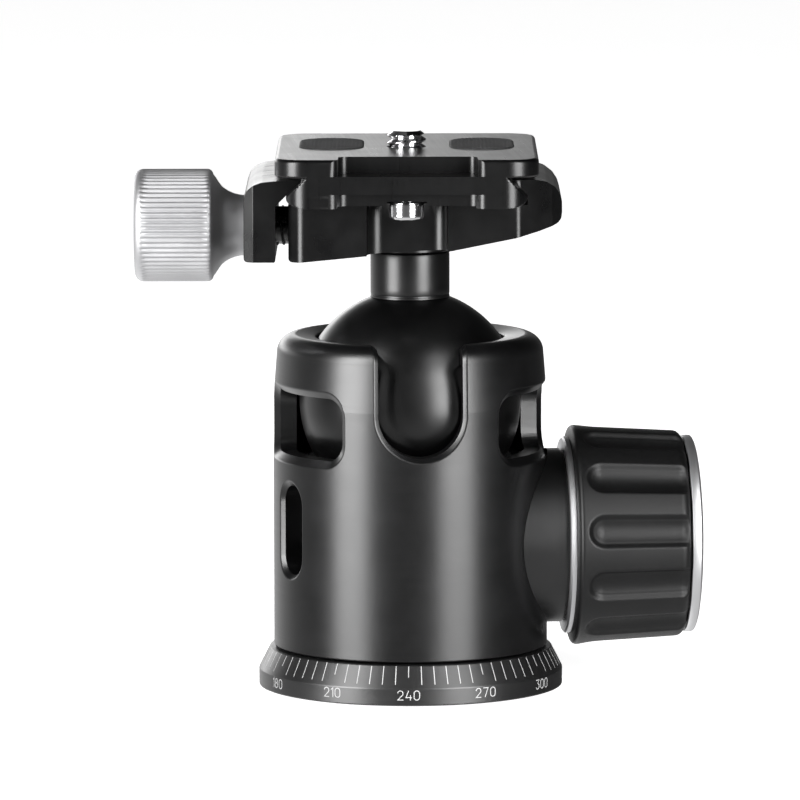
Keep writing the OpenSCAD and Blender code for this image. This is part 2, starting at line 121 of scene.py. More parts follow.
def lathe(profile, n, put, closed=True, start=0.0):
    """A solid turned from (height, radius) points."""
    verts, faces, rings = [], [], []
    for h, r in profile:
        if r < 1e-6:
            rings.append([len(verts)])
            verts.append(put(h, 0, 0))
        else:
            ring = []
            for i in range(n):
                t = start + 2 * PI * i / n
                ring.append(len(verts))
                verts.append(put(h, r * math.cos(t), r * math.sin(t)))
            rings.append(ring)
    m = len(rings)
    for j in range(m if closed else m - 1):
        a, b = rings[j], rings[(j + 1) % m]
        if len(a) == 1 and len(b) == 1:
            continue
        for i in range(n):
            k = (i + 1) % n
            if len(a) == 1:
                faces.append((a[0], b[i], b[k]))
            elif len(b) == 1:
                faces.append((a[i], a[k], b[0]))
            else:
                faces.append((a[i], a[k], b[k], b[i]))
    return verts, faces


def grid_turned(rows, n, radius, put, closed=True):
    """As lathe, but radius(h, r, angle) gives each vertex its own (h, r)."""
    verts, faces, rings = [], [], []
    for h, r in rows:
        if r < 1e-6:
            rings.append([len(verts)])
            verts.append(put(h, 0, 0))
            continue
        ring = []
        for i in range(n):
            t = 2 * PI * i / n
            hh, rr = radius(h, r, t)
            ring.append(len(verts))
            verts.append(put(hh, rr * math.cos(t), rr * math.sin(t)))
        rings.append(ring)
    m = len(rings)
    for j in range(m if closed else m - 1):
        a, b = rings[j], rings[(j + 1) % m]
        for i in range(n):
            k = (i + 1) % n
            if len(a) == 1 and len(b) == 1:
                continue
            if len(a) == 1:
                faces.append((a[0], b[i], b[k]))
            elif len(b) == 1:
                faces.append((a[i], a[k], b[0]))
            else:
                faces.append((a[i], a[k], b[k], b[i]))
    return verts, faces


def extrude(poly, lo, hi, put, steps=1):
    """A prism: put(u, v, w) places a section point (u, v) at w."""
    n = len(poly)
    verts, faces = [], []
    for s in range(steps + 1):
        w = lo + (hi - lo) * s / steps
        verts += [put(u, v, w) for u, v in poly]
    for s in range(steps):
        for i in range(n):
            k = (i + 1) % n
            faces.append((s * n + i, s * n + k, (s + 1) * n + k, (s + 1) * n + i))
    faces.append(tuple(range(n)))
    faces.append(tuple(range(steps * n, steps * n + n)))
    return verts, faces


def loft(sections):
    """Closed solid through sections, each a list of the same number of xyz points."""
    n = len(sections[0])
    verts = [p for s in sections for p in s]
    faces = []
    for j in range(len(sections) - 1):
        for i in range(n):
            k = (i + 1) % n
            faces.append((j * n + i, j * n + k, (j + 1) * n + k, (j + 1) * n + i))
    faces.append(tuple(range(n)))
    faces.append(tuple(range((len(sections) - 1) * n, len(sections) * n)))
    return verts, faces


def sweep(frames, section, closed):
    """frames: (point, n, N); section points are (along n, along N)."""
    verts, faces = [], []
    m = len(section)
    for p, a, b in frames:
        for u, v in section:
            q = p + a * u + b * v
            verts.append((q.x, q.y, q.z))
    count = len(frames)
    for j in range(count if closed else count - 1):
        jj = (j + 1) % count
        for i in range(m):
            k = (i + 1) % m
            faces.append((j * m + i, j * m + k, jj * m + k, jj * m + i))
    if not closed:
        faces.append(tuple(range(m)))
        faces.append(tuple(range((count - 1) * m, count * m)))
    return verts, faces


def round_poly(pts, r=0.0, n=6):
    out = []
    m = len(pts)
    for i, p in enumerate(pts):
        a, b, c = Vector(pts[i - 1][:2]), Vector(p[:2]), Vector(pts[(i + 1) % m][:2])
        rr = p[2] if len(p) > 2 else r
        if rr < 1e-6:
            out.append((b.x, b.y))
            continue
        u, v = (a - b).normalized(), (c - b).normalized()
        ang = u.angle(v)
        centre = b + (u + v).normalized() * (rr / math.sin(ang / 2))
        d = rr / math.tan(ang / 2)
        s, e = b + u * d, b + v * d
        a0 = math.atan2(s.y - centre.y, s.x - centre.x)
        a1 = math.atan2(e.y - centre.y, e.x - centre.x)
        da = (a1 - a0 + PI) % (2 * PI) - PI
        for k in range(n + 1):
            t = a0 + da * k / n
            out.append((centre.x + rr * math.cos(t), centre.y + rr * math.sin(t)))
    return out


def bake(ob):
    dg = bpy.context.evaluated_depsgraph_get()
    me = bpy.data.meshes.new_from_object(ob.evaluated_get(dg), depsgraph=dg)
    ob.modifiers.clear()
    old = ob.data
    ob.data = me
    bpy.data.meshes.remove(old)


def combine(ob, others, op="DIFFERENCE"):
    for c in others:
        md = ob.modifiers.new("cut", "BOOLEAN")
        md.operation = op
        md.solver = "EXACT"
        md.object = c
        bake(ob)
    for c in others:
        me = c.data
        bpy.data.objects.remove(c)
        bpy.data.meshes.remove(me)


def tidy(ob, dist=2e-6):
    bm = bmesh.new()
    bm.from_mesh(ob.data)
    bmesh.ops.remove_doubles(bm, verts=bm.verts, dist=dist)
    bmesh.ops.dissolve_degenerate(bm, edges=bm.edges, dist=1e-7)
    bmesh.ops.recalc_face_normals(bm, faces=bm.faces)
    bm.to_mesh(ob.data)
    bm.free()


def bevel(ob, width, seg=2, angle=32):
    md = ob.modifiers.new("bevel", "BEVEL")
    md.width = width * MM
    md.segments = seg
    md.limit_method = "ANGLE"
    md.angle_limit = math.radians(angle)
    md.harden_normals = False
    md.use_clamp_overlap = True
    bake(ob)


def smooth(ob, angle=32, weighted=False):
    me = ob.data
    me.polygons.foreach_set("use_smooth", [True] * len(me.polygons))
    me.set_sharp_from_angle(angle=math.radians(angle))
    if weighted:
        md = ob.modifiers.new("wn", "WEIGHTED_NORMAL")
        md.keep_sharp = True
        md.weight = 60
        bake(ob)


def piece(ob, mat, body, slot, *nodes):
    ob.data.materials.clear()
    ob.data.materials.append(mat)
    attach(ob, body)
    if nodes:
        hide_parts(*nodes)
    return ob


# ------------------------------------------------------------------ materials

class Mat:
    """Builds one procedural material on a Principled shader, in object coordinates."""

    def __init__(self, name, metallic=0.0, ior=1.5, rough=0.4, colour=(0.5, 0.5, 0.5)):
        self.m = bpy.data.materials.new(name)
        self.m.use_nodes = True
        self.nt = self.m.node_tree
        self.b = self.nt.nodes["Principled BSDF"]
        self.b.inputs["Metallic"].default_value = metallic
        self.b.inputs["IOR"].default_value = ior
        self.b.inputs["Roughness"].default_value = rough
        self.b.inputs["Base Color"].default_value = (*colour, 1)
        self.co = self.nt.nodes.new("ShaderNodeTexCoord").outputs["Object"]
        self.height = None
        self.dist = 0.0

    def node(self, kind, **kw):
        n = self.nt.nodes.new(kind)
        for k, v in kw.items():
            if k in n.inputs:
                n.inputs[k].default_value = v
            else:
                setattr(n, k, v)
        return n

    def link(self, a, b):
        self.nt.links.new(a, b)

    def stretch(self, scale):
        m = self.node("ShaderNodeMapping")
        m.inputs["Scale"].default_value = scale
        self.link(self.co, m.inputs["Vector"])
        return m.outputs["Vector"]

    def noise(self, scale, detail=3.0, rough=0.55, vec=None):
        n = self.node("ShaderNodeTexNoise", Scale=scale, Detail=detail, Roughness=rough)
        self.link(vec if vec is not None else self.co, n.inputs["Vector"])
        return n.outputs["Fac"]

    def remap(self, src, lo, hi, a, b):
        n = self.node("ShaderNodeMapRange")
        n.inputs["From Min"].default_value = lo
        n.inputs["From Max"].default_value = hi
        n.inputs["To Min"].default_value = a
        n.inputs["To Max"].default_value = b
        self.link(src, n.inputs["Value"])
        return n.outputs["Result"]

    def math(self, op, a, b):
        n = self.node("ShaderNodeMath")
        n.operation = op
        for i, v in enumerate((a, b)):
            if isinstance(v, (int, float)):
                n.inputs[i].default_value = v
            else:
                self.link(v, n.inputs[i])
        return n.outputs[0]

    def colour(self, fac, c1, c2, p1=0.35, p2=0.65):
        r = self.node("ShaderNodeValToRGB")
        r.color_ramp.elements[0].position = p1
        r.color_ramp.elements[1].position = p2
        r.color_ramp.elements[0].color = (*c1, 1)
        r.color_ramp.elements[1].color = (*c2, 1)
        self.link(fac, r.inputs["Fac"])
        self.link(r.outputs["Color"], self.b.inputs["Base Color"])

    def rough(self, fac, a, b, lo=0.3, hi=0.7):
        self.link(self.remap(fac, lo, hi, a, b), self.b.inputs["Roughness"])

    def bump(self, height, depth, strength=1.0):
        """depth in millimetres for a height of 1."""
        n = self.node("ShaderNodeBump", Strength=strength, Distance=depth * MM)
        self.link(height, n.inputs["Height"])
        self.link(n.outputs["Normal"], self.b.inputs["Normal"])
        return self


LINES = {"X": (4200, 25, 25), "Y": (25, 4200, 25), "Z": (25, 25, 4200)}


def anodised(name, axis=None, grain=3200, rough=(0.3, 0.4), base=(0.0010, 0.0010, 0.0011), tone=(0.0021, 0.0021, 0.0023), depth=0.0019, lines=0.5, ior=1.55):
    m = Mat(name, 0.0, ior)
    fine = m.noise(grain, 4, 0.6)
    cloud = m.noise(160, 4, 0.55)
    m.colour(cloud, base, tone)
    if axis:
        tool = m.noise(1.0, 3, 0.7, m.stretch(LINES[axis]))
        m.rough(m.math("ADD", m.math("MULTIPLY", tool, 0.6), m.math("MULTIPLY", cloud, 0.4)), *rough)
        h = m.math("ADD", m.math("MULTIPLY", tool, lines), m.math("MULTIPLY", fine, 1 - lines))
    else:
        m.rough(cloud, *rough)
        h = fine
    m.bump(h, depth)
    return m.m


def metal(name, colour, tone, rough, axis=None, grain=2600, depth=0.0012, lines=0.7, aniso=0.0):
    m = Mat(name, 1.0, 1.5)
    fine = m.noise(grain, 3, 0.6)
    cloud = m.noise(180, 3, 0.5)
    m.colour(cloud, colour, tone)
    if axis:
        tool = m.noise(1.0, 3, 0.7, m.stretch(LINES[axis]))
        m.rough(m.math("ADD", m.math("MULTIPLY", tool, 0.6), m.math("MULTIPLY", cloud, 0.4)), *rough)
        h = m.math("ADD", m.math("MULTIPLY", tool, lines), m.math("MULTIPLY", fine, 1 - lines))
    else:
        m.rough(cloud, *rough)
        h = fine
    m.bump(h, depth)
    if aniso:
        m.b.inputs["Anisotropic"].default_value = aniso
    return m.m


def rubber(name, base, tone, rough, grain=2200, depth=0.006, sheen=0.0, ior=1.48, even=0.4):
    m = Mat(name, 0.0, ior)
    fine = m.noise(grain, 4, 0.6)
    cloud = m.noise(140, 3, 0.5)
    m.colour(m.math("ADD", m.math("MULTIPLY", fine, even), m.math("MULTIPLY", cloud, 1 - even)), base, tone)
    m.rough(fine, *rough)
    m.bump(fine, depth)
    m.b.inputs["Sheen Weight"].default_value = sheen
    m.b.inputs["Sheen Roughness"].default_value = 0.4
    return m.m


def plastic(name, base, tone, rough=(0.45, 0.6), grain=1800, depth=0.003, ior=1.48):
    m = Mat(name, 0.0, ior)
    fine = m.noise(grain, 3, 0.6)
    cloud = m.noise(120, 3, 0.5)
    m.colour(cloud, base, tone)
    m.rough(fine, *rough)
    m.bump(fine, depth)
    return m.m


M = {
    "body": anodised("anodised_black_turned", "Z", rough=(0.28, 0.34), depth=0.0066, lines=0.3),
    "base": anodised("anodised_black_base", "Z", rough=(0.31, 0.37), ior=1.68, base=(0.0028, 0.0028, 0.0029), tone=(0.005, 0.005, 0.0052), depth=0.0062, lines=0.2),
    "boss": anodised("anodised_black_boss", "X", rough=(0.32, 0.40)),
    "stem": anodised("anodised_black_stem", "Z", rough=(0.27, 0.37), depth=0.008, lines=0.2),
    "clamp": anodised("anodised_black_blasted", None, grain=4200, rough=(0.26, 0.33), depth=0.0056, ior=1.46, base=(0.0007, 0.0007, 0.0008), tone=(0.0015, 0.0015, 0.0016)),
    "plate": anodised("anodised_black_plate", "X", grain=4200, rough=(0.26, 0.33), depth=0.0034, lines=0.35, ior=1.48, base=(0.0007, 0.0007, 0.0008), tone=(0.0015, 0.0015, 0.0016)),
    "ball": anodised("anodised_black_ball", None, grain=5200, rough=(0.28, 0.33), depth=0.0012, ior=1.52, base=(0.0006, 0.0006, 0.0007), tone=(0.0012, 0.0012, 0.0013)),
    "grip": rubber("moulded_rubber", (0.0012, 0.0012, 0.0013), (0.0026, 0.0026, 0.0027), (0.40, 0.52), depth=0.008, ior=1.39),
    "pad": rubber("pad_rubber_pebbled", (0.009, 0.009, 0.0093), (0.042, 0.042, 0.043), (0.6, 0.75), grain=2300, depth=0.02, even=0.9),
    "clear_x": metal("clear_anodised_turned", (0.61, 0.61, 0.62), (0.64, 0.64, 0.65), (0.42, 0.46), "X", depth=0.002, lines=0.5),
    "clear_y": metal("clear_anodised_collar", (0.62, 0.62, 0.63), (0.7, 0.7, 0.71), (0.30, 0.4), "Y"),
    "knurl": metal("clear_anodised_knurled", (0.53, 0.53, 0.54), (0.56, 0.56, 0.57), (0.49, 0.53), None, grain=3600, depth=0.004),
    "bare": metal("turned_aluminium", (0.5, 0.5, 0.51), (0.58, 0.58, 0.59), (0.28, 0.4), "Z"),
    "steel": metal("machined_steel", (0.45, 0.45, 0.45), (0.55, 0.55, 0.55), (0.24, 0.36), "Z"),
    "steel_y": metal("machined_steel_pin", (0.45, 0.45, 0.45), (0.55, 0.55, 0.55), (0.24, 0.36), "Y"),
    "chrome": metal("polished_chrome", (0.78, 0.78, 0.79), (0.84, 0.84, 0.85), (0.11, 0.16), None, grain=1500, depth=0.0002),
    "brass": metal("machined_brass", (0.6, 0.42, 0.17), (0.7, 0.52, 0.23), (0.28, 0.4), "X"),
    "oxide": anodised("black_oxide_steel", "X", rough=(0.3, 0.42), ior=1.8, base=(0.005, 0.005, 0.005), tone=(0.011, 0.011, 0.011)),
    "polymer": plastic("natural_acetal", (0.72, 0.69, 0.6), (0.78, 0.75, 0.67)),
    "plastic": plastic("matte_black_plastic", (0.005, 0.005, 0.005), (0.009, 0.009, 0.009)),
    "mark": plastic("scale_fill", (0.27, 0.27, 0.27), (0.38, 0.38, 0.38), (0.5, 0.65), grain=6000, depth=0.002),
}

CAD_LOOK = {
    "pan_flange": "steel", "flange_screws": "oxide", "pan_washers": "polymer", "capture_ring": "bare",
    "bearing_plate": "bare", "upper_seat_ring": "plastic", "lock_boss": "boss", "lock_bushing": "brass",
    "pan_boss": "boss", "wedge_spring": "steel", "wedge": "oxide", "ball_cup": "body", "cup_liner": "plastic",
    "lock_thrust_washer": "plastic", "lock_screw": "steel", "knob_core": "clear_x", "knob_fixing_screw": "oxide",
    "pan_collar": "clear_y", "pan_screw": "steel_y", "pan_brake_shoe": "brass", "clamp_screw": "oxide",
    "clamp_stud": "oxide", "guide_pins": "oxide", "jaw_springs": "oxide", "clamp_knob_bush": "brass",
    "screw_clip": "oxide",
}
for node_name, look_name in CAD_LOOK.items():
    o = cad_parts[node_name]
    o.data.materials.clear()
    o.data.materials.append(M[look_name])


# ------------------------------------------------------------------ housing

BODY_R, CREASE, RIM_R, RIM_Z, FIL = 22.5, 47.35, 21.9, 58.1, 3.0
BALL_Z, BALL_R = 47.1, 18.2


def outer(z):
    """Radius and profile normal of the housing's outside below its fillet."""
    if z <= CREASE:
        return BODY_R, Vector((1, 0))
    t = (z - CREASE) / (RIM_Z - FIL - CREASE)
    d = Vector((RIM_R - BODY_R, RIM_Z - FIL - CREASE)).normalized()
    return BODY_R + (RIM_R - BODY_R) * t, Vector((d.y, -d.x))


def skin(x, y, rn):
    """World normal for the profile normal rn at (x, y)."""
    r = math.hypot(x, y)
    return Vector((x / r * rn.x, y / r * rn.x, rn.y)).normalized()


def frames_of(path, centre, closed):
    """path: (point, outward normal). Adds the in-surface direction that points away from centre."""
    out = []
    n = len(path)
    for i, (p, nn) in enumerate(path):
        a = path[i - 1][0] if (closed or i > 0) else p
        b = path[(i + 1) % n][0] if (closed or i < n - 1) else p
        t = (b - a).normalized()
        side = t.cross(nn).normalized()
        out.append((p, side, nn))
    # one sign for the whole path
    s = sum((f[1].dot(f[0] - centre)) for f in out)
    if s < 0:
        out = [(p, -a, b) for p, a, b in out]
    return out


def chamfer(name, path, centre, c, closed, m=0.5):
    sec = [(-m, -c - m), (c - 0.177, -0.177), (c - 0.083, -0.101), (c + 0.02, -0.046), (c + 0.136, -0.011), (c + 0.3, 0.012),
           (c + 0.5, m), (-m, m)]
    return make(name, *sweep(frames_of(path, Vector(centre), closed), sec, closed))


def build_housing():
    segs = 384
    prof = [(6.7, 18.7), (6.7, 20.5), (6.7, 22.25), (6.78, 22.43), (6.95, 22.5)]
    z = 6.95
    rows = 21
    for i in range(1, rows + 1):
        prof.append((6.95 + (CREASE - 6.95) * i / rows, BODY_R))
    for i in range(1, 7):
        zz = CREASE + (RIM_Z - FIL - CREASE) * i / 6
        prof.append((zz, outer(zz)[0]))
    for x, zz in arc(RIM_R - FIL, RIM_Z - FIL, FIL, 0, 90, 14)[1:]:
        prof.append((zz, x))
    prof += [(58.06, 18.7), (57.72, 15.9), (57.62, 15.62), (57.4, 15.5), (56.6, 15.5)]
    # the lip follows the ball
    for i in range(1, 7):
        zz = 56.6 + (54.6 - 56.6) * i / 6
        prof.append((zz, math.sqrt((BALL_R + 0.15) ** 2 - (zz - BALL_Z) ** 2)))
    prof.append((54.6, 18.7))
    for i in range(1, 16):
        prof.append((54.6 + (6.7 - 54.6) * i / 16, 18.7))
    # the profile is copied unchanged; the lip's 0.15 mm offset above keeps it off the sphere
    prof = [(h, r) for h, r in prof]
    ob = make("housing_shell", *lathe(prof, segs, put_z()))

    cutters = []
    # drop notch
    half = 6.9
    zc = 46.9
    poly = [(half, 72), (half, zc)] + [(half * math.cos(t), zc - half * math.sin(t)) for t in [PI * i / 48 for i in range(1, 48)]] + [(-half, zc), (-half, 72)]
    cutters.append(make("c1", *extrude(poly, -30, -12, lambda u, v, w: (u, w, v))))
    side = []
    y1 = math.sqrt(18.9 ** 2 - half ** 2)
    for k in range(5):
        y = -12.0 - (y1 - 0.15 - 12.0) * k / 4
        r = math.hypot(half, y)
        zz = 57.62 + (58.1 - 57.62) * (r - 15.5) / 3.4
        side.append((Vector((half, y, zz)), skin(half, y, Vector((-0.12, 1)))))
    for x, zz in arc(RIM_R - FIL, RIM_Z - FIL, FIL, 88, 0, 14):
        a = math.acos(min(1, (x - (RIM_R - FIL)) / FIL))
        y = -math.sqrt(x * x - half * half)
        side.append((Vector((half, y, zz)), skin(half, y, Vector((math.cos(a), math.sin(a))))))
    for k in range(1, 5):
        zz = RIM_Z - FIL + (CREASE - RIM_Z + FIL) * k / 4
        r, rn = outer(zz)
        y = -math.sqrt(r * r - half * half)
        side.append((Vector((half, y, zz)), skin(half, y, rn)))
    for k in range(0, 25):
        t = PI / 2 * k / 24
        x, zz = half * math.cos(t), zc - half * math.sin(t)
        r, rn = outer(zz)
        y = -math.sqrt(r * r - x * x)
        side.append((Vector((x, y, zz)), skin(x, y, rn)))
    other = [(Vector((-p.x, p.y, p.z)), Vector((-q.x, q.y, q.z))) for p, q in side[:-1]]
    path = side + other[::-1]
    cutters.append(chamfer("c2", path, (0, -21, 52), 0.75, False))

    # side windows
    z0, z1, rr = 39.0, 49.2, 3.0
    for mid in (65.9, -67.7):
        s = math.radians(30.2)
        k = rr / BODY_R
        loop = []
        for cx, cz, a0 in ((s - k, z1 - rr, 0), (-s + k, z1 - rr, 90), (-s + k, z0 + rr, 180), (s - k, z0 + rr, 270)):
            for i in range(9):
                a = math.radians(a0 + 90 * i / 8)
                loop.append((cx + k * math.cos(a), cz + rr * math.sin(a)))
        # extra points along the long sides, so that they follow the cylinder
        full = []
        for i, p in enumerate(loop):
            q = loop[(i + 1) % len(loop)]
            full.append(p)
            steps = int(max(abs(q[0] - p[0]) * BODY_R, abs(q[1] - p[1])) / 1.2)
            for j in range(1, steps):
                full.append((p[0] + (q[0] - p[0]) * j / steps, p[1] + (q[1] - p[1]) * j / steps))
        m0 = math.radians(mid)

        def at(phi, zz, r):
            return (-math.sin(m0 + phi) * r, -math.cos(m0 + phi) * r, zz)
        secs = [[at(p, zz, r) for p, zz in full] for r in (15, 27)]
        cutters.append(make("c3", *loft(secs)))
        path = []
        for p, zz in full:
            r, rn = outer(zz)
            q = Vector(at(p, zz, r))
            path.append((q, skin(q.x, q.y, rn)))
        cutters.append(chamfer("c4", path, at(0, (z0 + z1) / 2, BODY_R), 1.15, True))

    # lower slot
    a = math.radians(66.4)
    d, u = Vector((-math.sin(a), -math.cos(a), 0)), Vector((math.cos(a), -math.sin(a), 0))
    sr, sz, sh = 3.1, 26.85, 14.7
    outline = []
    for k in range(25):
        t = PI * k / 24
        outline.append((sr * math.cos(t), sz + sh / 2 - sr + sr * math.sin(t)))
    for k in range(25):
        t = PI + PI * k / 24
        outline.append((sr * math.cos(t), sz - sh / 2 + sr + sr * math.sin(t)))
    cutters.append(make("c5", *extrude(outline, 10, 30, lambda p, q, w: tuple(d * w + u * p + Vector((0, 0, q))))))
    path = []
    for p, q in outline:
        w = math.sqrt(BODY_R ** 2 - p * p)
        v = d * w + u * p + Vector((0, 0, q))
        path.append((v, skin(v.x, v.y, Vector((1, 0)))))
    cutters.append(chamfer("c6", path, tuple(d * BODY_R + Vector((0, 0, sz))), 0.8, True))
    # seats of the two bosses
    cutters.append(make("c7", *lathe([(15, 0), (15, 9.05), (30, 9.05), (30, 0)], 64, put_x(24.3), False)))
    cutters.append(make("c8", *lathe([(15, 0), (15, 3.65), (30, 3.65), (30, 0)], 48, put_y(11.9), False)))
    combine(ob, cutters)
    tidy(ob)
    smooth(ob, 24)
    # exact normals on the turned outside
    me = ob.data
    normals = [Vector(c.vector) for c in me.corner_normals]
    for poly in me.polygons:
        c = poly.center / MM
        r = math.hypot(c.x, c.y)
        n = None
        if c.z < RIM_Z - FIL and 6.9 < c.z:
            ro, rn = outer(c.z)
            if abs(r - ro) < 0.03 and poly.normal.dot(skin(c.x, c.y, rn)) > 0.995:
                n = "wall"
        elif c.z >= RIM_Z - FIL:
            dd = math.hypot(r - (RIM_R - FIL), c.z - (RIM_Z - FIL))
            if abs(dd - FIL) < 0.05 and r > RIM_R - FIL:
                rn = Vector((r - (RIM_R - FIL), c.z - (RIM_Z - FIL))).normalized()
                if poly.normal.dot(skin(c.x, c.y, rn)) > 0.98:
                    n = "fillet"
        if not n:
            continue
        for li in poly.loop_indices:
            v = me.vertices[me.loops[li].vertex_index].co / MM
            if n == "wall":
                rn = outer(min(max(v.z, c.z - 0.001) if c.z > CREASE else c.z, RIM_Z - FIL))[1]
                if c.z > CREASE:
                    rn = outer(c.z)[1]
            else:
                rv = math.hypot(v.x, v.y)
                rn = Vector((max(rv - (RIM_R - FIL), 0), max(v.z - (RIM_Z - FIL), 0)))
                if rn.length < 1e-6:
                    continue
                rn.normalize()
            normals[li] = skin(v.x, v.y, rn)
    me.normals_split_custom_set([tuple(v) for v in normals])
    piece(ob, M["body"], "housing", "black_anodised", "housing")


build_housing()


# ------------------------------------------------------------------ base ring, its scale and the tripod insert

def build_base():
    prof = [(0, 7.05), (0, 11.85), (0.15, 12), (0.6, 12.1), (0.6, 17.9), (0.15, 18), (0, 18.15), (0, 24.8), (0.05, 24.94), (0.2, 25),
            (0.27, 25), (1.5, 25), (2.64, 25), (2.72, 25), (2.8, 24.985), (2.88, 24.95), (2.96, 24.909), (4.6, 24.075), (6.2, 23.256), (6.28, 23.215), (6.36, 23.13), (6.4, 23.0),
            (6.4, 18), (6.4, 12), (8.6, 12), (8.6, 7.05)]
    ob = make("base_ring_turned", *lathe(prof, 360, put_z()))
    smooth(ob, 20)
    piece(ob, M["base"], "base", "black_anodised", "base_ring")

    # ticks: thin inlays on the cone, one each 5 degrees, short at each 30 degrees
    zero = -5.5 - 240
    lo, hi = Vector((24.95, 2.88)), Vector((23.215, 6.28))
    slope = (hi - lo)
    nrm = Vector((slope.y, -slope.x)).normalized()
    verts, faces = [], []
    for k in range(72):
        phi = math.radians(zero + 5 * k)
        short = k % 6 == 0
        t0, t1 = (0.5 if short else 0.17), 0.99
        w = 0.07
        dirn, tang = Vector((math.sin(phi), -math.cos(phi), 0)), Vector((math.cos(phi), math.sin(phi), 0))
        base = len(verts)
        steps = 6
        for j in range(steps + 1):
            q = lo + slope * (t0 + (t1 - t0) * j / steps)
            for sx, off in ((-w, 0.012), (w, 0.012), (w, -0.06), (-w, -0.06)):
                rr = q.x + nrm.x * off
                zz = q.y + nrm.y * off
                p = dirn * rr + tang * sx + Vector((0, 0, zz))
                verts.append(tuple(p))
        for j in range(steps):
            for i in range(4):
                i2 = (i + 1) % 4
                faces.append((base + j * 4 + i, base + j * 4 + i2, base + (j + 1) * 4 + i2, base + (j + 1) * 4 + i))
        faces.append(tuple(base + i for i in range(4)))
        faces.append(tuple(base + steps * 4 + i for i in range(4)))
    ob = make("scale_ticks", verts, faces)
    piece(ob, M["mark"], "base", "clear_anodised")

    # numbers: strokes that follow the band
    def ell(cx, cy, rx, ry, a0, a1, n):
        return [(cx + rx * math.cos(math.radians(a0 + (a1 - a0) * i / n)), cy + ry * math.sin(math.radians(a0 + (a1 - a0) * i / n))) for i in range(n + 1)]
    glyph = {
        "0": [(ell(0.3, 0.7, 0.3, 0.3, 0, 180, 10) + ell(0.3, 0.3, 0.3, 0.3, 180, 360, 10), True)],
        "1": [([(0.12, 0.8), (0.34, 1.0), (0.34, 0.0)], False)],
        "2": [(ell(0.3, 0.7, 0.29, 0.3, 170, -30, 10) + [(0.02, 0.0), (0.6, 0.0)], False)],
        "3": [([(0.04, 1.0), (0.56, 1.0), (0.3, 0.62)] + ell(0.28, 0.3, 0.3, 0.3, 75, -160, 10), False)],
        "4": [([(0.5, 0.0), (0.5, 0.5)], False), ([(0.3, 1.0), (0.02, 0.27), (0.62, 0.27)], False)],
        "5": [([(0.55, 1.0), (0.1, 1.0), (0.06, 0.58)] + ell(0.28, 0.32, 0.3, 0.31, 110, -150, 10), False)],
        "6": [(ell(0.3, 0.3, 0.28, 0.3, 0, 360, 16)[:-1], True), ([(0.04, 0.36), (0.2, 0.78), (0.36, 1.0)], False)],
        "7": [([(0.02, 1.0), (0.58, 1.0), (0.22, 0.0)], False)],
        "8": [(ell(0.3, 0.27, 0.28, 0.27, 0, 360, 16)[:-1], True), (ell(0.3, 0.76, 0.23, 0.23, 0, 360, 16)[:-1], True)],
        "9": [(ell(0.3, 0.7, 0.28, 0.3, 0, 360, 16)[:-1], True), ([(0.56, 0.64), (0.4, 0.22), (0.24, 0.0)], False)],
    }
    tall, adv, wide, z_low = 1.5, 1.34, 0.07, 1.03
    verts, faces = [], []

    def ribbon(pts, loop, phi0, u0):
        n = len(pts)
        base = len(verts)
        for i in range(n):
            p = Vector(pts[i])
            a = Vector(pts[i - 1]) if (loop or i > 0) else None
            b = Vector(pts[(i + 1) % n]) if (loop or i < n - 1) else None
            d1 = (p - a).normalized() if a is not None else (b - p).normalized()
            d2 = (b - p).normalized() if b is not None else d1
            n1, n2 = Vector((-d1.y, d1.x)), Vector((-d2.y, d2.x))
            mitre = (n1 + n2)
            mitre = mitre / max(mitre.length_squared, 0.7) * 2
            # square ends stand half a stroke beyond their point
            q = p.copy()
            if not loop and i == 0:
                q = p - d2 * wide * 0.6
            if not loop and i == n - 1:
                q = p + d1 * wide * 0.6
            for off, depth in ((wide, 0.014), (-wide, 0.014), (-wide, -0.06), (wide, -0.06)):
                w = q + mitre * off
                phi = phi0 + (u0 + w.x) / 25.0
                rr = 25.0 + depth
                verts.append((math.sin(phi) * rr, -math.cos(phi) * rr, z_low + w.y))
        for i in range(n if loop else n - 1):
            k = (i + 1) % n
            for j in range(4):
                j2 = (j + 1) % 4
                faces.append((base + i * 4 + j, base + i * 4 + j2, base + k * 4 + j2, base + k * 4 + j))
        if not loop:
            faces.append(tuple(base + j for j in range(4)))
            faces.append(tuple(base + (n - 1) * 4 + j for j in range(4)))

    for k in range(12):
        phi = math.radians(zero + 30 * k)
        text = str(30 * k)
        steps = [adv - 0.62 * (ch == "1") for ch in text]
        span = sum(steps) - adv + 0.6 * tall
        for i, ch in enumerate(text):
            for pts, loop in glyph[ch]:
                ribbon([(x * tall, y * tall) for x, y in pts], loop, phi, -span / 2 + sum(steps[:i]) - 0.2 * (ch == "1"))
    ob = make("scale_numbers", verts, faces)
    piece(ob, M["mark"], "base", "clear_anodised")

    # 3/8 inch insert with its thread
    pitch, z0, z1 = 1.5875, 0.0, 12.7
    rows = [(0.0, 7.0), (0.0, 5.1)]
    n_z = 112
    for i in range(n_z + 1):
        rows.append((0.35 + (12.35 - 0.35) * i / n_z, -1))
    rows += [(12.7, 5.1), (12.7, 7.0)]

    def thread(h, r, t):
        if r > 0:
            return h, r
        ph = (h / pitch - t / (2 * PI)) % 1.0
        tri = abs(ph - 0.5) * 2          # 0 at the root
        tri = min(max((tri - 0.12) / 0.7, 0), 1)
        rr = 4.76 - 0.76 * tri
        if h < 1.0:
            rr = max(rr, 4.86 - (h - 0.35) * 0.9)
        if h > 12.0:
            rr = max(rr, 4.5)
        return h, rr
    ob = make("insert_threaded", *grid_turned(rows, 96, thread, put_z()))
    smooth(ob, 35)
    piece(ob, M["steel"], "base", "steel", "tripod_insert")


build_base()


# ------------------------------------------------------------------ ball and stem

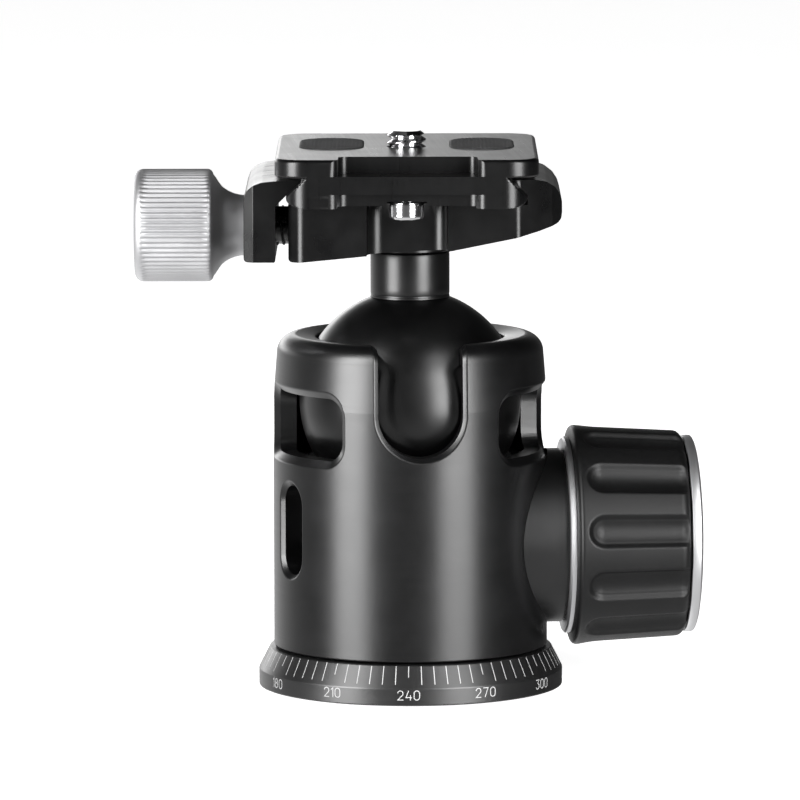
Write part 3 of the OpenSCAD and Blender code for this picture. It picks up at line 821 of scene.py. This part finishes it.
def build_ball():
    prof = [(BALL_Z - BALL_R, 0)]
    for i in range(1, 128):
        a = -PI / 2 + PI * i / 128
        prof.append((BALL_Z + BALL_R * math.sin(a), BALL_R * math.cos(a)))
    prof.append((BALL_Z + BALL_R, 0))
    ob = make("ball_turned", *lathe(prof, 256, put_z(), False))
    smooth(ob, 60)
    piece(ob, M["ball"], "ball", "ball_black", "ball")

    def ball_top(r):
        return BALL_Z + math.sqrt((BALL_R + 0.05) ** 2 - r * r)
    prof = [(ball_top(0), 0)]
    for r in (1.5, 3, 4.5, 5.8, 6.35):
        prof.append((ball_top(r), r))
    prof += [(ball_top(6.5) + 0.02, 6.5), (ball_top(6.5) + 0.3, 6.5), (ball_top(6.5) + 0.36, 6.44), (ball_top(6.5) + 0.55, 6.42), (ball_top(6.5) + 0.61, 6.47),
             (ball_top(6.5) + 0.7, 6.5)]
    for i in range(1, 8):
        prof.append((65 + (71.2 - 65) * i / 7, 6.5))
    prof += [(71.5, 6.44), (71.62, 6.2), (71.62, 0)]
    ob = make("stem_turned", *lathe(prof, 192, put_z(), False))
    smooth(ob, 30)
    piece(ob, M["stem"], "stem", "black_anodised", "stem")


build_ball()


# ------------------------------------------------------------------ main knob

LOCK_Z = 24.3


def build_knob():
    # rubber grip: twelve round-ended flutes
    outline = [(26.08, 13.5), (26.08, 16.5), (26.12, 16.75), (26.3, 17.25)]
    r0, r1 = 18.1, 17.2
    rows = list(outline)
    for x, r in arc(27.1, r0 - 0.75, 0.75, 155, 90, 8):
        rows.append((x, r))
    n = 84
    for i in range(1, n):
        x = 27.1 + (43.1 - 27.1) * i / n
        rows.append((x, r0 + (r1 - r0) * (x - 27.1) / (43.1 - 27.1)))
    for x, r in arc(43.1, r1 - 1.75, 1.75, 90, 8, 14):
        rows.append((x, r))
    rows += [(45.0, 15.75), (45.01, 15.4), (45.01, 13.5)]
    count = 12
    xa, half, deep, lip = 30.5, 2.35, 1.3, 0.55   # centre of the flute's round end, half width, depth, edge rounding

    def flute(h, r, t):
        if r < 15.3 or h < 27:
            return h, r
        step = 2 * PI / count
        off = math.radians(20.9)
        k = round((t - off) / step)
        v = (t - off - k * step) * 17.5
        u = max(xa - h, 0)
        d = math.hypot(u, v)
        e = half + lip
        if d >= e:
            return h, r
        # a round-bottomed channel, with its edge rounded over
        q = max(0.0, 1 - (d / (half + 0.25)) ** 2)
        cut = deep * q ** 0.75
        if d > half - lip:
            w = (e - d) / (2 * lip)
            q0 = max(0.0, 1 - ((half - lip) / (half + 0.25)) ** 2)
            edge = deep * q0 ** 0.75
            cut = edge * w * w * (3 - 2 * w)
        # the flute runs out into the outer rounding
        fade = 1.0 if h < 43.4 else max(0.0, 1 - (h - 43.4) / 1.6)
        fade = fade * (2 - fade)
        return h, r - cut * fade
    ob = make("grip_moulded", *grid_turned(rows, 672, flute, put_x(LOCK_Z)))
    smooth(ob, 50)
    piece(ob, M["grip"], "lock_knob", "rubber", "knob_grip")

    # end cap
    prof = [(45.03, 0), (45.03, 16.1), (45.08, 16.2), (45.2, 16.24), (46.25, 16.24), (46.42, 16.17), (46.55, 16.0), (46.62, 15.85), (46.72, 15.6),
            (46.85, 14.9), (47.0, 13.7), (47.14, 12.3), (47.26, 10.5), (47.36, 8.2), (47.43, 6), (47.47, 3.5), (47.485, 0)]
    ob = make("cap_turned", *lathe(prof, 256, put_x(LOCK_Z), False))
    smooth(ob, 30)
    piece(ob, M["clear_x"], "lock_knob", "clear_anodised", "knob_cap")


build_knob()


# ------------------------------------------------------------------ panning lock knob

def build_pan_knob():
    z0, r = 11.9, 8.0
    rows = [(26.12, 4.4), (26.2, 4.55), (26.35, 4.6), (27.7, 4.6), (28.1, 4.75), (28.4, 5.1)]
    for x, q in arc(30.1, r - 1.3, 1.3, 150, 90, 8):
        rows.append((x, q))
    for i in range(1, 20):
        rows.append((30.1 + (36.7 - 30.1) * i / 20, r))
    for x, q in arc(36.7, r - 1.3, 1.3, 90, 0, 8):
        rows.append((x, q))
    rows += [(38.0, 5.6), (37.9, 5.3), (37.6, 5.15), (37.5, 4.9), (37.5, 0)]

    def flute(h, q, t):
        if q < r - 1.3 or h < 28.5:
            return h, q
        step = 2 * PI / 16
        v = (t - round(t / step) * step) * r
        d = abs(v) / 0.95
        cut = 0.55 * max(0.0, 1 - d * d) ** 0.8
        s = min(1, max(0, (h - 29.2) / 1.2)) * min(1, max(0, (37.9 - h) / 0.8))
        return h, q - cut * s
    rows = [(26.12, 0)] + rows
    ob = make("pan_knob_moulded", *grid_turned(rows, 384, flute, put_y(z0), False))
    smooth(ob, 45)
    piece(ob, M["grip"], "pan_lock_knob", "rubber", "pan_knob")


build_pan_knob()


# ------------------------------------------------------------------ clamp

CX = -0.5            # the plate sits this far off the stem's axis
NECK_Z, NECK_HALF, FOOT_HALF, TIP_Z = 85.85, 16.2, 19.5, 82.55
FLOOR_Z = 80.91
CLAMP_Z = 75.95


def along_y(u, v, w):
    return (u, w, v)


def along_z(u, v, w):
    return (u, v, w)


def rod(axis, lo, hi, a, b, r, n=48):
    """A cutter or filler cylinder: centre (a, b) in the other two axes."""
    prof = [(lo, 0), (lo, r), (hi, r), (hi, 0)]
    if axis == "x":
        put = lambda h, p, q: (h, a + p, b + q)
    elif axis == "y":
        put = lambda h, p, q: (a + p, h, b + q)
    else:
        put = lambda h, p, q: (a + p, b + q, h)
    return lathe(prof, n, put, False)


def build_clamp_body():
    top = 85.0
    fit = 0.05
    outline = round_poly([
        (-19.7, 71.6, 0.6), (-18, 71.65), (-11.96, 72.22), (-7.1, 72.7), (6.5, 73.46, 6.0), (17.2, 75.6, 10), (21.0, 76.5, 4), (23.1, 77.12, 1.5), (24.1, 77.6, 0.6),
        (24.6, 78.25, 0.5), (24.75, 79.3, 0.8), (24.72, 81.1, 1.5), (24.35, 82.35, 1.5), (23.6, 83.45, 1.5), (22.2, 84.45, 2.0), (20.3, 84.93, 3.0), (17.9, top, 0.5),
        (CX + NECK_HALF + fit + (NECK_Z - top), top, 0.0), (CX + FOOT_HALF + fit, TIP_Z, 0), (CX + FOOT_HALF + fit, FLOOR_Z), (-19.7, FLOOR_Z)], 0, 6)
    body = make("clamp_body_milled", *extrude(outline, -19.05, 19.05, along_y), clamp=True)
    f = 19.0
    # plan outline, with the two reliefs for the stop screws
    plan = []
    front = [(-19.7, -17.1, 0.3), (-17.75, -f, 2.0), (CX - 6.5, -f, 0.0), (CX - 6.5, -15.0, 2.6), (CX + 6.7, -15.0, 2.6), (CX + 6.7, -f, 0.0),
             (17.6, -f, 1.6), (23.1, -14.5, 0.3), (24.75, -12.6, 0.6)]
    back = [(x, -y, r) for x, y, r in front[::-1]]
    plan = round_poly(front + back, 0, 9)
    cutter = make("plan", *extrude(plan, 60, 100, along_z), clamp=True)
    combine(body, [cutter], "INTERSECT")
    boss = make("boss", *lathe([(71.66, 0), (71.66, 6.2), (71.95, 6.5), (75.5, 6.5), (75.5, 0)], 96, put_z(), False), clamp=True)
    combine(body, [boss], "UNION")
    cuts = [make("k", *rod("z", 71, 79, 0, 0, 3.1), clamp=True), make("k", *rod("z", 76, 95, 0, 0, 5.4), clamp=True),
            make("k", *rod("x", -25, -8.9, 0, CLAMP_Z, 3.2), clamp=True)]
    for y in (-12, 12):
        cuts.append(make("k", *rod("x", -25, -13.9, y, CLAMP_Z, 2.3), clamp=True))
    combine(body, cuts)
    tidy(body)
    bevel(body, 0.16, 2, 34)
    smooth(body, 32, True)
    piece(body, M["clamp"], "clamp", "clamp_black", "clamp_body")


def build_jaw():
    fit = 0.04
    top = 84.98
    xi = -21.8
    outline = round_poly([
        (-26.95, 71.7, 0.6), (xi, 71.7, 0.3), (xi, NECK_Z - (21.8 + CX - NECK_HALF - fit)), (CX - NECK_HALF - fit - (NECK_Z - top), top, 0.0),
        (-19.4, top, 0.0), (-22.0, 84.92, 3.0), (-24.0, 84.7, 2.5), (-25.4, 84.2, 1.5), (-26.4, 83.3, 1.0), (-26.95, 81.95, 1.0)], 0, 6)
    jaw = make("jaw_milled", *extrude(outline, -19.05, 19.05, along_y), clamp=True)
    plan = round_poly([(-26.95, -17.9, 0.25), (-25.4, -19.0, 0.2), (-10, -19.0), (-10, 19.0), (-25.4, 19.0, 0.2), (-26.95, 17.9, 0.25)], 0, 4)
    combine(jaw, [make("plan", *extrude(plan, 60, 100, along_z), clamp=True)], "INTERSECT")
    cuts = [make("k", *rod("x", -30, -20, 0, CLAMP_Z, 3.4), clamp=True)]
    for y in (-12, 12):
        cuts.append(make("k", *rod("x", -26.75, -20, y, CLAMP_Z, 1.66), clamp=True))
    combine(jaw, cuts)
    tidy(jaw)
    bevel(jaw, 0.15, 2, 34)
    # three index grooves across the top
    cuts = []
    for y in (9.2, 1.2, -6.9):
        w = 0.16
        sec = [(-24.1, y - w), (-16.5, y - w), (-16.5, y + w), (-24.1, y + w)]
        lo = [(-24.1, y - w, 84.48), (-16.5, y - w, 84.86), (-16.5, y + w, 84.86), (-24.1, y + w, 84.48)]
        hi = [(-24.1, y - w, 86.4), (-16.5, y - w, 86.4), (-16.5, y + w, 86.4), (-24.1, y + w, 86.4)]
        cuts.append(make("k", *loft([lo, hi]), clamp=True))
    combine(jaw, cuts)
    tidy(jaw)
    smooth(jaw, 32, True)
    piece(jaw, M["clamp"], "jaw", "clamp_black", "jaw")


def build_clamp_knob():
    r = 9.25
    rows = [(-45.0, 0), (-44.95, 5.9), (-44.9, 6.3), (-45.05, 6.6), (-45.1, 6.9)]
    for x, q in arc(-43.7, r - 1.4, 1.4, 180, 90, 8):
        rows.append((x, q))
    for i in range(1, 28):
        rows.append((-43.7 + (-33.2 + 43.7) * i / 28, r))
    for x, q in arc(-33.2, r - 1.0, 1.0, 90, 5, 6):
        rows.append((x, q))
    neck = [(-32.0, 8.12), (-31.77, 7.8), (-31.3, 7.05), (-30.8, 6.4), (-30.3, 6.0), (-29.82, 5.7), (-29.3, 5.45), (-28.83, 5.25), (-28.3, 5.12), (-27.85, 5.02), (-27.1, 4.95), (-27.02, 4.8), (-27.02, 3.2)]
    rows += neck
    ribs = 64

    def knurl(h, q, t):
        if q < r - 0.9:
            return h, q
        a = (math.cos(t * ribs) + 1) / 2
        cut = 0.27 * (1 - a ** 0.75)
        s = min(1, max(0, (h + 44.3) / 1.5)) * min(1, max(0, (-32.55 - h) / 1.2))
        s = s * s * (3 - 2 * s)
        return h, q - cut * s
    v, fcs = grid_turned(rows, ribs * 10, knurl, put_x(CLAMP_Z), False)
    n = ribs * 10
    last = len(v) - n
    # close the neck's end back to the axis
    c = len(v)
    v.append((-27.02, 0, CLAMP_Z))
    for i in range(n):
        fcs.append((last + i, last + (i + 1) % n, c))
    ob = make("clamp_knob_knurled", v, fcs, clamp=True)
    smooth(ob, 50)
    piece(ob, M["knurl"], "clamp_knob", "clear_anodised", "clamp_knob")


build_clamp_body()
build_jaw()
build_clamp_knob()


# ------------------------------------------------------------------ plate

PLATE_Z0, PLATE_Z1, PLATE_HALF, PLATE_L = 80.95, 88.85, 21.35, 25.0


def rounded_rect(hw, hl, r, z, n=10):
    out = []
    for sx, sy, a0 in ((1, 1, 0), (-1, 1, 90), (-1, -1, 180), (1, -1, 270)):
        for i in range(n + 1):
            a = math.radians(a0 + 90 * i / n)
            out.append((CX + sx * (hw - r) + r * math.cos(a), sy * (hl - r) + r * math.sin(a), z))
    return out


def pad_outline(s, r, n=20):
    cx, ya, yb = CX + s * 12.3, -1.3, 8.8
    out = []
    for i in range(n + 1):
        a = PI * i / n
        out.append((cx + r * math.cos(a), yb + r * math.sin(a)))
    for i in range(n + 1):
        a = PI + PI * i / n
        out.append((cx + r * math.cos(a), ya + r * math.sin(a)))
    return out


def foot_section(hw, z, r=3.7, n=14):
    """The foot's outline at a height: hw is its half width there, the end corners are one upright rounding."""
    out = []
    for sx, sy, a0 in ((1, 1, 0), (-1, 1, 90), (-1, -1, 180), (1, -1, 270)):
        for i in range(n + 1):
            a = math.radians(a0 + 90 * i / n)
            out.append((CX + sx * min(hw, FOOT_HALF - r + r * abs(math.cos(a))), sy * (PLATE_L - r + r * abs(math.sin(a))), z))
    return out


def build_plate():
    secs = []
    for i in range(9):
        a = math.radians(90 * i / 8)
        secs.append(foot_section(FOOT_HALF - 3.4 + 3.4 * math.sin(a), PLATE_Z0 + 1.4 - 1.4 * math.cos(a)))
    for i in range(23):
        secs.append(foot_section(FOOT_HALF + (NECK_HALF - FOOT_HALF) * i / 22, TIP_Z + (NECK_Z - TIP_Z) * i / 22))
    secs.append(foot_section(NECK_HALF, NECK_Z + 0.6))
    ob = make("plate_milled", *loft(secs), clamp=True)
    secs = []
    for d, z in ((0.4, 0.0), (0.2, 0.06), (0.06, 0.2), (0.0, 0.4)):
        secs.append(rounded_rect(PLATE_HALF - d, PLATE_L - d, 5.0 - d, NECK_Z + z, 16))
    for i in range(8):
        a = math.radians(90 * i / 7)
        d = 0.7 - 0.7 * math.cos(a)
        secs.append(rounded_rect(PLATE_HALF - d, PLATE_L - d, 5.0 - d, PLATE_Z1 - 0.7 + 0.7 * math.sin(a), 16))
    slab = make("k", *loft(secs), clamp=True)
    combine(ob, [slab], "UNION")
    cuts = []
    f = PLATE_L + 0.004
    # upper recess in the front face
    up = round_poly([(-14.5, -27), (14.5, -27), (14.5, -f), (11.45, -f, 1.5), (11.45, -18.5, 1.5), (-11.07, -18.5, 1.5), (-11.07, -f, 1.5), (-14.5, -f)], 0, 10)
    cuts.append(make("k", *extrude([(x + CX, y) for x, y in up], NECK_Z + 0.3, 95, along_z), clamp=True))
    # lower recess: two blended roundings at each end
    r, deep = 1.9, 1.6
    th = math.acos(1 - deep / (2 * r))
    low = [(-16, -27), (16, -27), (16, -f)]
    for side, x0 in ((1, 13.0), (-1, -12.62)):
        x1 = x0 - side * 2 * r * math.sin(th)
        pts = [(x0, -f)]
        for i in range(7):
            q = th * i / 6
            pts.append((x0 - side * r * math.sin(q), -PLATE_L + r - r * math.cos(q)))
        for i in range(6, -1, -1):
            q = th * i / 6
            pts.append((x1 + side * r * math.sin(q), -PLATE_L + deep - r + r * math.cos(q)))
        low += pts if side > 0 else pts[::-1]
    low.append((-16, -f))
    cuts.append(make("k", *extrude([(x + CX, y) for x, y in low], 75, 83.26, along_z), clamp=True))
    # shallow channel along the underside
    cuts.append(make("k", *extrude([(CX - 11.2, 75), (CX + 11.2, 75), (CX + 11.2, PLATE_Z0 + 0.36), (CX - 11.2, PLATE_Z0 + 0.36)], -27, 27, along_y), clamp=True))
    # camera screw's hole, head and clip seats
    cuts.append(make("k", *rod("z", 75, 90, CX, 0, 3.27, 64), clamp=True))
    cuts.append(make("k", *rod("z", 75, 84.6, CX, 0, 6.4, 64), clamp=True))
    cuts.append(make("k", *rod("z", 87.55, 88.3, CX, 0, 3.75, 64), clamp=True))
    for s in (-1, 1):
        cuts.append(make("k", *rod("z", 75, 82.0, CX, s * 21.4, 3.8, 64), clamp=True))
        cuts.append(make("k", *extrude(pad_outline(s, 5.3), PLATE_Z1 - 0.7, 92, along_z), clamp=True))
    combine(ob, cuts)
    tidy(ob)
    bevel(ob, 0.12, 2, 34)
    smooth(ob, 32, True)
    piece(ob, M["plate"], "plate", "clamp_black", "plate")

    # pads: pebbled top, rounded edge
    verts, faces = [], []
    for s in (-1, 1):
        cx, ya, yb, r = CX + s * 12.3, -1.3, 8.8, 5.22
        outline = []
        n_arc, n_side = 88, 52
        for i in range(n_arc):
            a = PI * i / n_arc
            outline.append((math.cos(a), math.sin(a), yb))
        for i in range(n_side):
            outline.append((-1, 0, yb + (ya - yb) * i / n_side))
        for i in range(n_arc):
            a = PI + PI * i / n_arc
            outline.append((math.cos(a), math.sin(a), ya))
        for i in range(n_side):
            outline.append((1, 0, ya + (yb - ya) * i / n_side))
        n = len(outline)
        base = len(verts)
        top = PLATE_Z1 + 0.17
        rows = [(r, PLATE_Z1 - 0.68, 0), (r, PLATE_Z1 - 0.1, 0), (r, PLATE_Z1 + 0.0, 0), (r - 0.03, PLATE_Z1 + 0.08, 0), (r - 0.1, PLATE_Z1 + 0.14, 0.15), (r - 0.2, top, 0.5)]
        steps = 24
        for i in range(1, steps + 1):
            rows.append(((r - 0.2) * (1 - i / steps), top, 1))
        for rr, z, k in rows:
            for dx, dy, yc in outline:
                x, y = cx + dx * rr, yc + dy * rr
                p = 0.5 + 0.25 * (math.cos(x * 2 * PI / 0.62) + math.cos((x * 0.5 + y * 0.866) * 2 * PI / 0.62))
                verts.append((x, y, z + (p * 0.085 - 0.02) * k))
        for j in range(len(rows) - 1):
            for i in range(n):
                i2 = (i + 1) % n
                faces.append((base + j * n + i, base + j * n + i2, base + (j + 1) * n + i2, base + (j + 1) * n + i))
        # the two arcs close onto the pad's middle line
        last = base + (len(rows) - 1) * n
        left = [last + n_arc + i for i in range(n_side + 1)]
        right = [last + (2 * n_arc + n_side + n_side - i) % n for i in range(n_side + 1)]
        for i in range(n_side):
            faces.append((left[i], left[i + 1], right[i + 1], right[i]))
        faces.append(tuple(base + i for i in range(n)))
    ob = make("pads_pebbled", verts, faces, clamp=True)
    smooth(ob, 60)
    piece(ob, M["pad"], "plate", "pad_rubber", "rubber_pads")

    # stop screws
    verts, faces = [], []
    for s in (-1, 1):
        prof = [(79.0 + 1.3, 0), (80.3, 1.22), (79.15, 1.3), (78.93, 1.42), (78.9, 1.6), (78.9, 2.15)]
        prof += [(78.95, 2.38), (79.06, 2.56), (79.22, 2.68), (79.42, 2.745), (79.65, 2.76), (81.4, 2.76), (81.65, 2.73), (81.84, 2.62), (81.93, 2.4), (81.95, 2.1), (81.95, 1.5), (85.2, 1.5), (85.4, 1.3), (85.4, 0)]
        v, fcs = lathe(prof, 96, put_z(CX, s * 21.4), False)
        faces += [tuple(i + len(verts) for i in q) for q in fcs]
        verts += v
    ob = make("stop_screws_turned", verts, faces, clamp=True)
    smooth(ob, 35)
    piece(ob, M["chrome"], "plate", "chrome", "stop_screws")

    # camera screw: 1/4 inch, 20 threads per inch
    pitch = 1.27
    rows = [(83.8, 0), (83.8, 2.6), (82.0, 2.7), (81.72, 2.9), (81.7, 3.2), (81.7, 5.7), (81.9, 6.0), (84.3, 6.0), (84.5, 5.8), (84.5, 2.55), (88.2, 2.55)]
    n_z = 54
    for i in range(n_z + 1):
        rows.append((88.25 + (91.34 - 88.25) * i / n_z, -1))
    rows += [(91.42, 2.38), (91.5, 2.26), (91.5, 2.16), (91.5, 0)]
    fixed = {id(r): r for r in rows}

    def thread(h, r, t):
        ph = (h / pitch - t / (2 * PI) + 0.1) % 1.0
        tri = abs(ph - 0.5) * 2
        tri = min(max((tri - 0.1) / 0.75, 0), 1)
        rr = 2.42 + (3.175 - 2.42) * tri
        if h < 88.7:
            k = (h - 88.25) / 0.45
            rr = 2.55 + (rr - 2.55) * max(0, k)
        rr = min(rr, 2.42 + (91.4 - h) * 1.25)
        return h, rr
    rows2 = rows

    def rad(h, r, t):
        return thread(h, r, t) if r < 0 else (h, r)
    verts, faces, rings = [], [], []
    put = put_z(CX, 0)
    n = 144
    for h, r in rows2:
        if 0 <= r < 1e-6:
            rings.append([len(verts)])
            verts.append(put(h, 0, 0))
            continue
        ring = []
        for i in range(n):
            t = 2 * PI * i / n
            hh, rr = rad(h, r, t)
            ring.append(len(verts))
            verts.append(put(hh, rr * math.cos(t), rr * math.sin(t)))
        rings.append(ring)
    for j in range(len(rings) - 1):
        a, b = rings[j], rings[j + 1]
        for i in range(n):
            k = (i + 1) % n
            if len(a) == 1:
                faces.append((a[0], b[i], b[k]))
            elif len(b) == 1:
                faces.append((a[i], a[k], b[0]))
            else:
                faces.append((a[i], a[k], b[k], b[i]))
    ob = make("camera_screw_threaded", verts, faces, clamp=True)
    smooth(ob, 40)
    piece(ob, M["chrome"], "camera_screw", "chrome", "camera_screw")


build_plate()


# ------------------------------------------------------------------ floor, world and lights

def build_stage():
    s = 12.0
    me = bpy.data.meshes.new("floor")
    me.from_pydata([(-s, -s, -0.0002), (s, -s, -0.0002), (s, s, -0.0002), (-s, s, -0.0002)], [], [(0, 1, 2, 3)])
    ob = bpy.data.objects.new("floor", me)
    scene.collection.objects.link(ob)
    m = Mat("floor_pale", 0.0, 1.45)
    f = m.noise(3.0, 2, 0.5)
    m.colour(f, (0.9, 0.9, 0.9), (0.92, 0.92, 0.92))
    m.rough(f, 0.85, 0.95)
    m.b.inputs["Emission Color"].default_value = (1, 1, 1, 1)
    m.b.inputs["Emission Strength"].default_value = 0.85
    me.materials.append(m.m)
    ob.visible_glossy = False
    ob.visible_shadow = False

    w = bpy.data.worlds.new("studio")
    scene.world = w
    w.use_nodes = True
    nt = w.node_tree
    nt.nodes.clear()
    out = nt.nodes.new("ShaderNodeOutputWorld")
    bg = nt.nodes.new("ShaderNodeBackground")
    nt.links.new(bg.outputs[0], out.inputs[0])
    co = nt.nodes.new("ShaderNodeTexCoord").outputs["Generated"]
    sep = nt.nodes.new("ShaderNodeSeparateXYZ")
    nt.links.new(co, sep.inputs[0])

    def mth(op, a, b=None):
        n = nt.nodes.new("ShaderNodeMath")
        n.operation = op
        for i, v in enumerate((a, b)):
            if v is None:
                continue
            if isinstance(v, (int, float)):
                n.inputs[i].default_value = v
            else:
                nt.links.new(v, n.inputs[i])
        return n.outputs[0]
    ang = mth("ARCTAN2", sep.outputs["X"], mth("MULTIPLY", sep.outputs["Y"], -1.0))
    t = mth("ADD", mth("DIVIDE", ang, 2 * PI), 0.5)

    def ramp(src, stops):
        r = nt.nodes.new("ShaderNodeValToRGB")
        r.color_ramp.interpolation = "EASE"
        el = r.color_ramp.elements
        el.remove(el[1])
        el[0].position = stops[0][0]
        el[0].color = (stops[0][1], stops[0][1], stops[0][1], 1)
        for p, v in stops[1:]:
            el.new(p).color = (v, v, v, 1)
        nt.links.new(src, r.inputs["Fac"])
        return r.outputs["Color"]
    up = mth("ADD", mth("MULTIPLY", sep.outputs["Z"], 0.5), 0.5)
    az = ramp(t, [(0.0, 0.9), (0.06, 0.9), (0.12, 0.7), (0.18, 0.4), (0.24, 0.16), (0.30, 0.08), (0.46, 0.10), (0.54, 0.10), (0.62, 0.03), (0.80, 0.03), (0.90, 0.05), (0.95, 0.1), (0.982, 0.16), (0.994, 0.7), (1.0, 0.8)])
    el = ramp(up, [(0.0, 0.9), (0.3, 0.9), (0.44, 1.0), (0.5, 0.95), (0.56, 0.7), (0.62, 0.4), (0.72, 0.14), (0.9, 0.05), (1.0, 0.1)])
    # a white wall behind, above the table, and the white table in front
    wall = ramp(t, [(0.0, 1.0), (0.07, 1.0), (0.13, 0.25), (0.2, 0.0), (0.86, 0.0), (0.94, 0.0), (0.982, 0.07), (0.995, 1.0), (1.0, 1.0)])
    high = ramp(up, [(0.0, 0.0), (0.51, 0.0), (0.535, 1.0), (0.585, 1.0), (0.64, 0.0), (1.0, 0.0)])
    table = ramp(up, [(0.0, 0.6), (0.25, 0.6), (0.34, 0.25), (0.41, 0.0), (1.0, 0.0)])

    def vec(op, a, b):
        n = nt.nodes.new("ShaderNodeVectorMath")
        n.operation = op
        for i, v in enumerate((a, b)):
            if isinstance(v, tuple):
                n.inputs[i].default_value = v
            else:
                nt.links.new(v, n.inputs[i])
        return n.outputs[0]
    glow = vec("MULTIPLY", vec("MULTIPLY", wall, high), (2.9, 2.9, 2.9))
    nt.links.new(vec("ADD", vec("ADD", vec("MULTIPLY", az, el), glow), table), bg.inputs["Color"])
    bg.inputs["Strength"].default_value = 1.1

    def soft(name, az_deg, height, dist, wide, tall, radiance):
        """An upright strip that faces the object from az_deg, centred at the given height."""
        a = math.radians(az_deg)
        d = Vector((math.sin(a), -math.cos(a), 0))
        li = bpy.data.lights.new(name, "AREA")
        li.shape = "RECTANGLE"
        li.size, li.size_y = wide, tall
        li.energy = PI * wide * tall * radiance
        o = bpy.data.objects.new(name, li)
        scene.collection.objects.link(o)
        o.location = d * dist + Vector((0, 0, height))
        o.rotation_mode = "QUATERNION"
        o.rotation_quaternion = (-d).to_track_quat("-Z", "Y")
        o.visible_camera = False
        return o
    soft("strip_left", -55.2, 0.26, 0.8, 0.40, 0.74, 15.6)
    soft("strip_right", 34.2, 0.26, 0.8, 0.40, 0.74, 12.2)
    soft("upper_left", -54.0, 0.86, 0.8, 0.34, 0.22, 7.5)
    soft("upper_right", 33.5, 0.86, 0.8, 0.34, 0.22, 6.5)


build_stage()
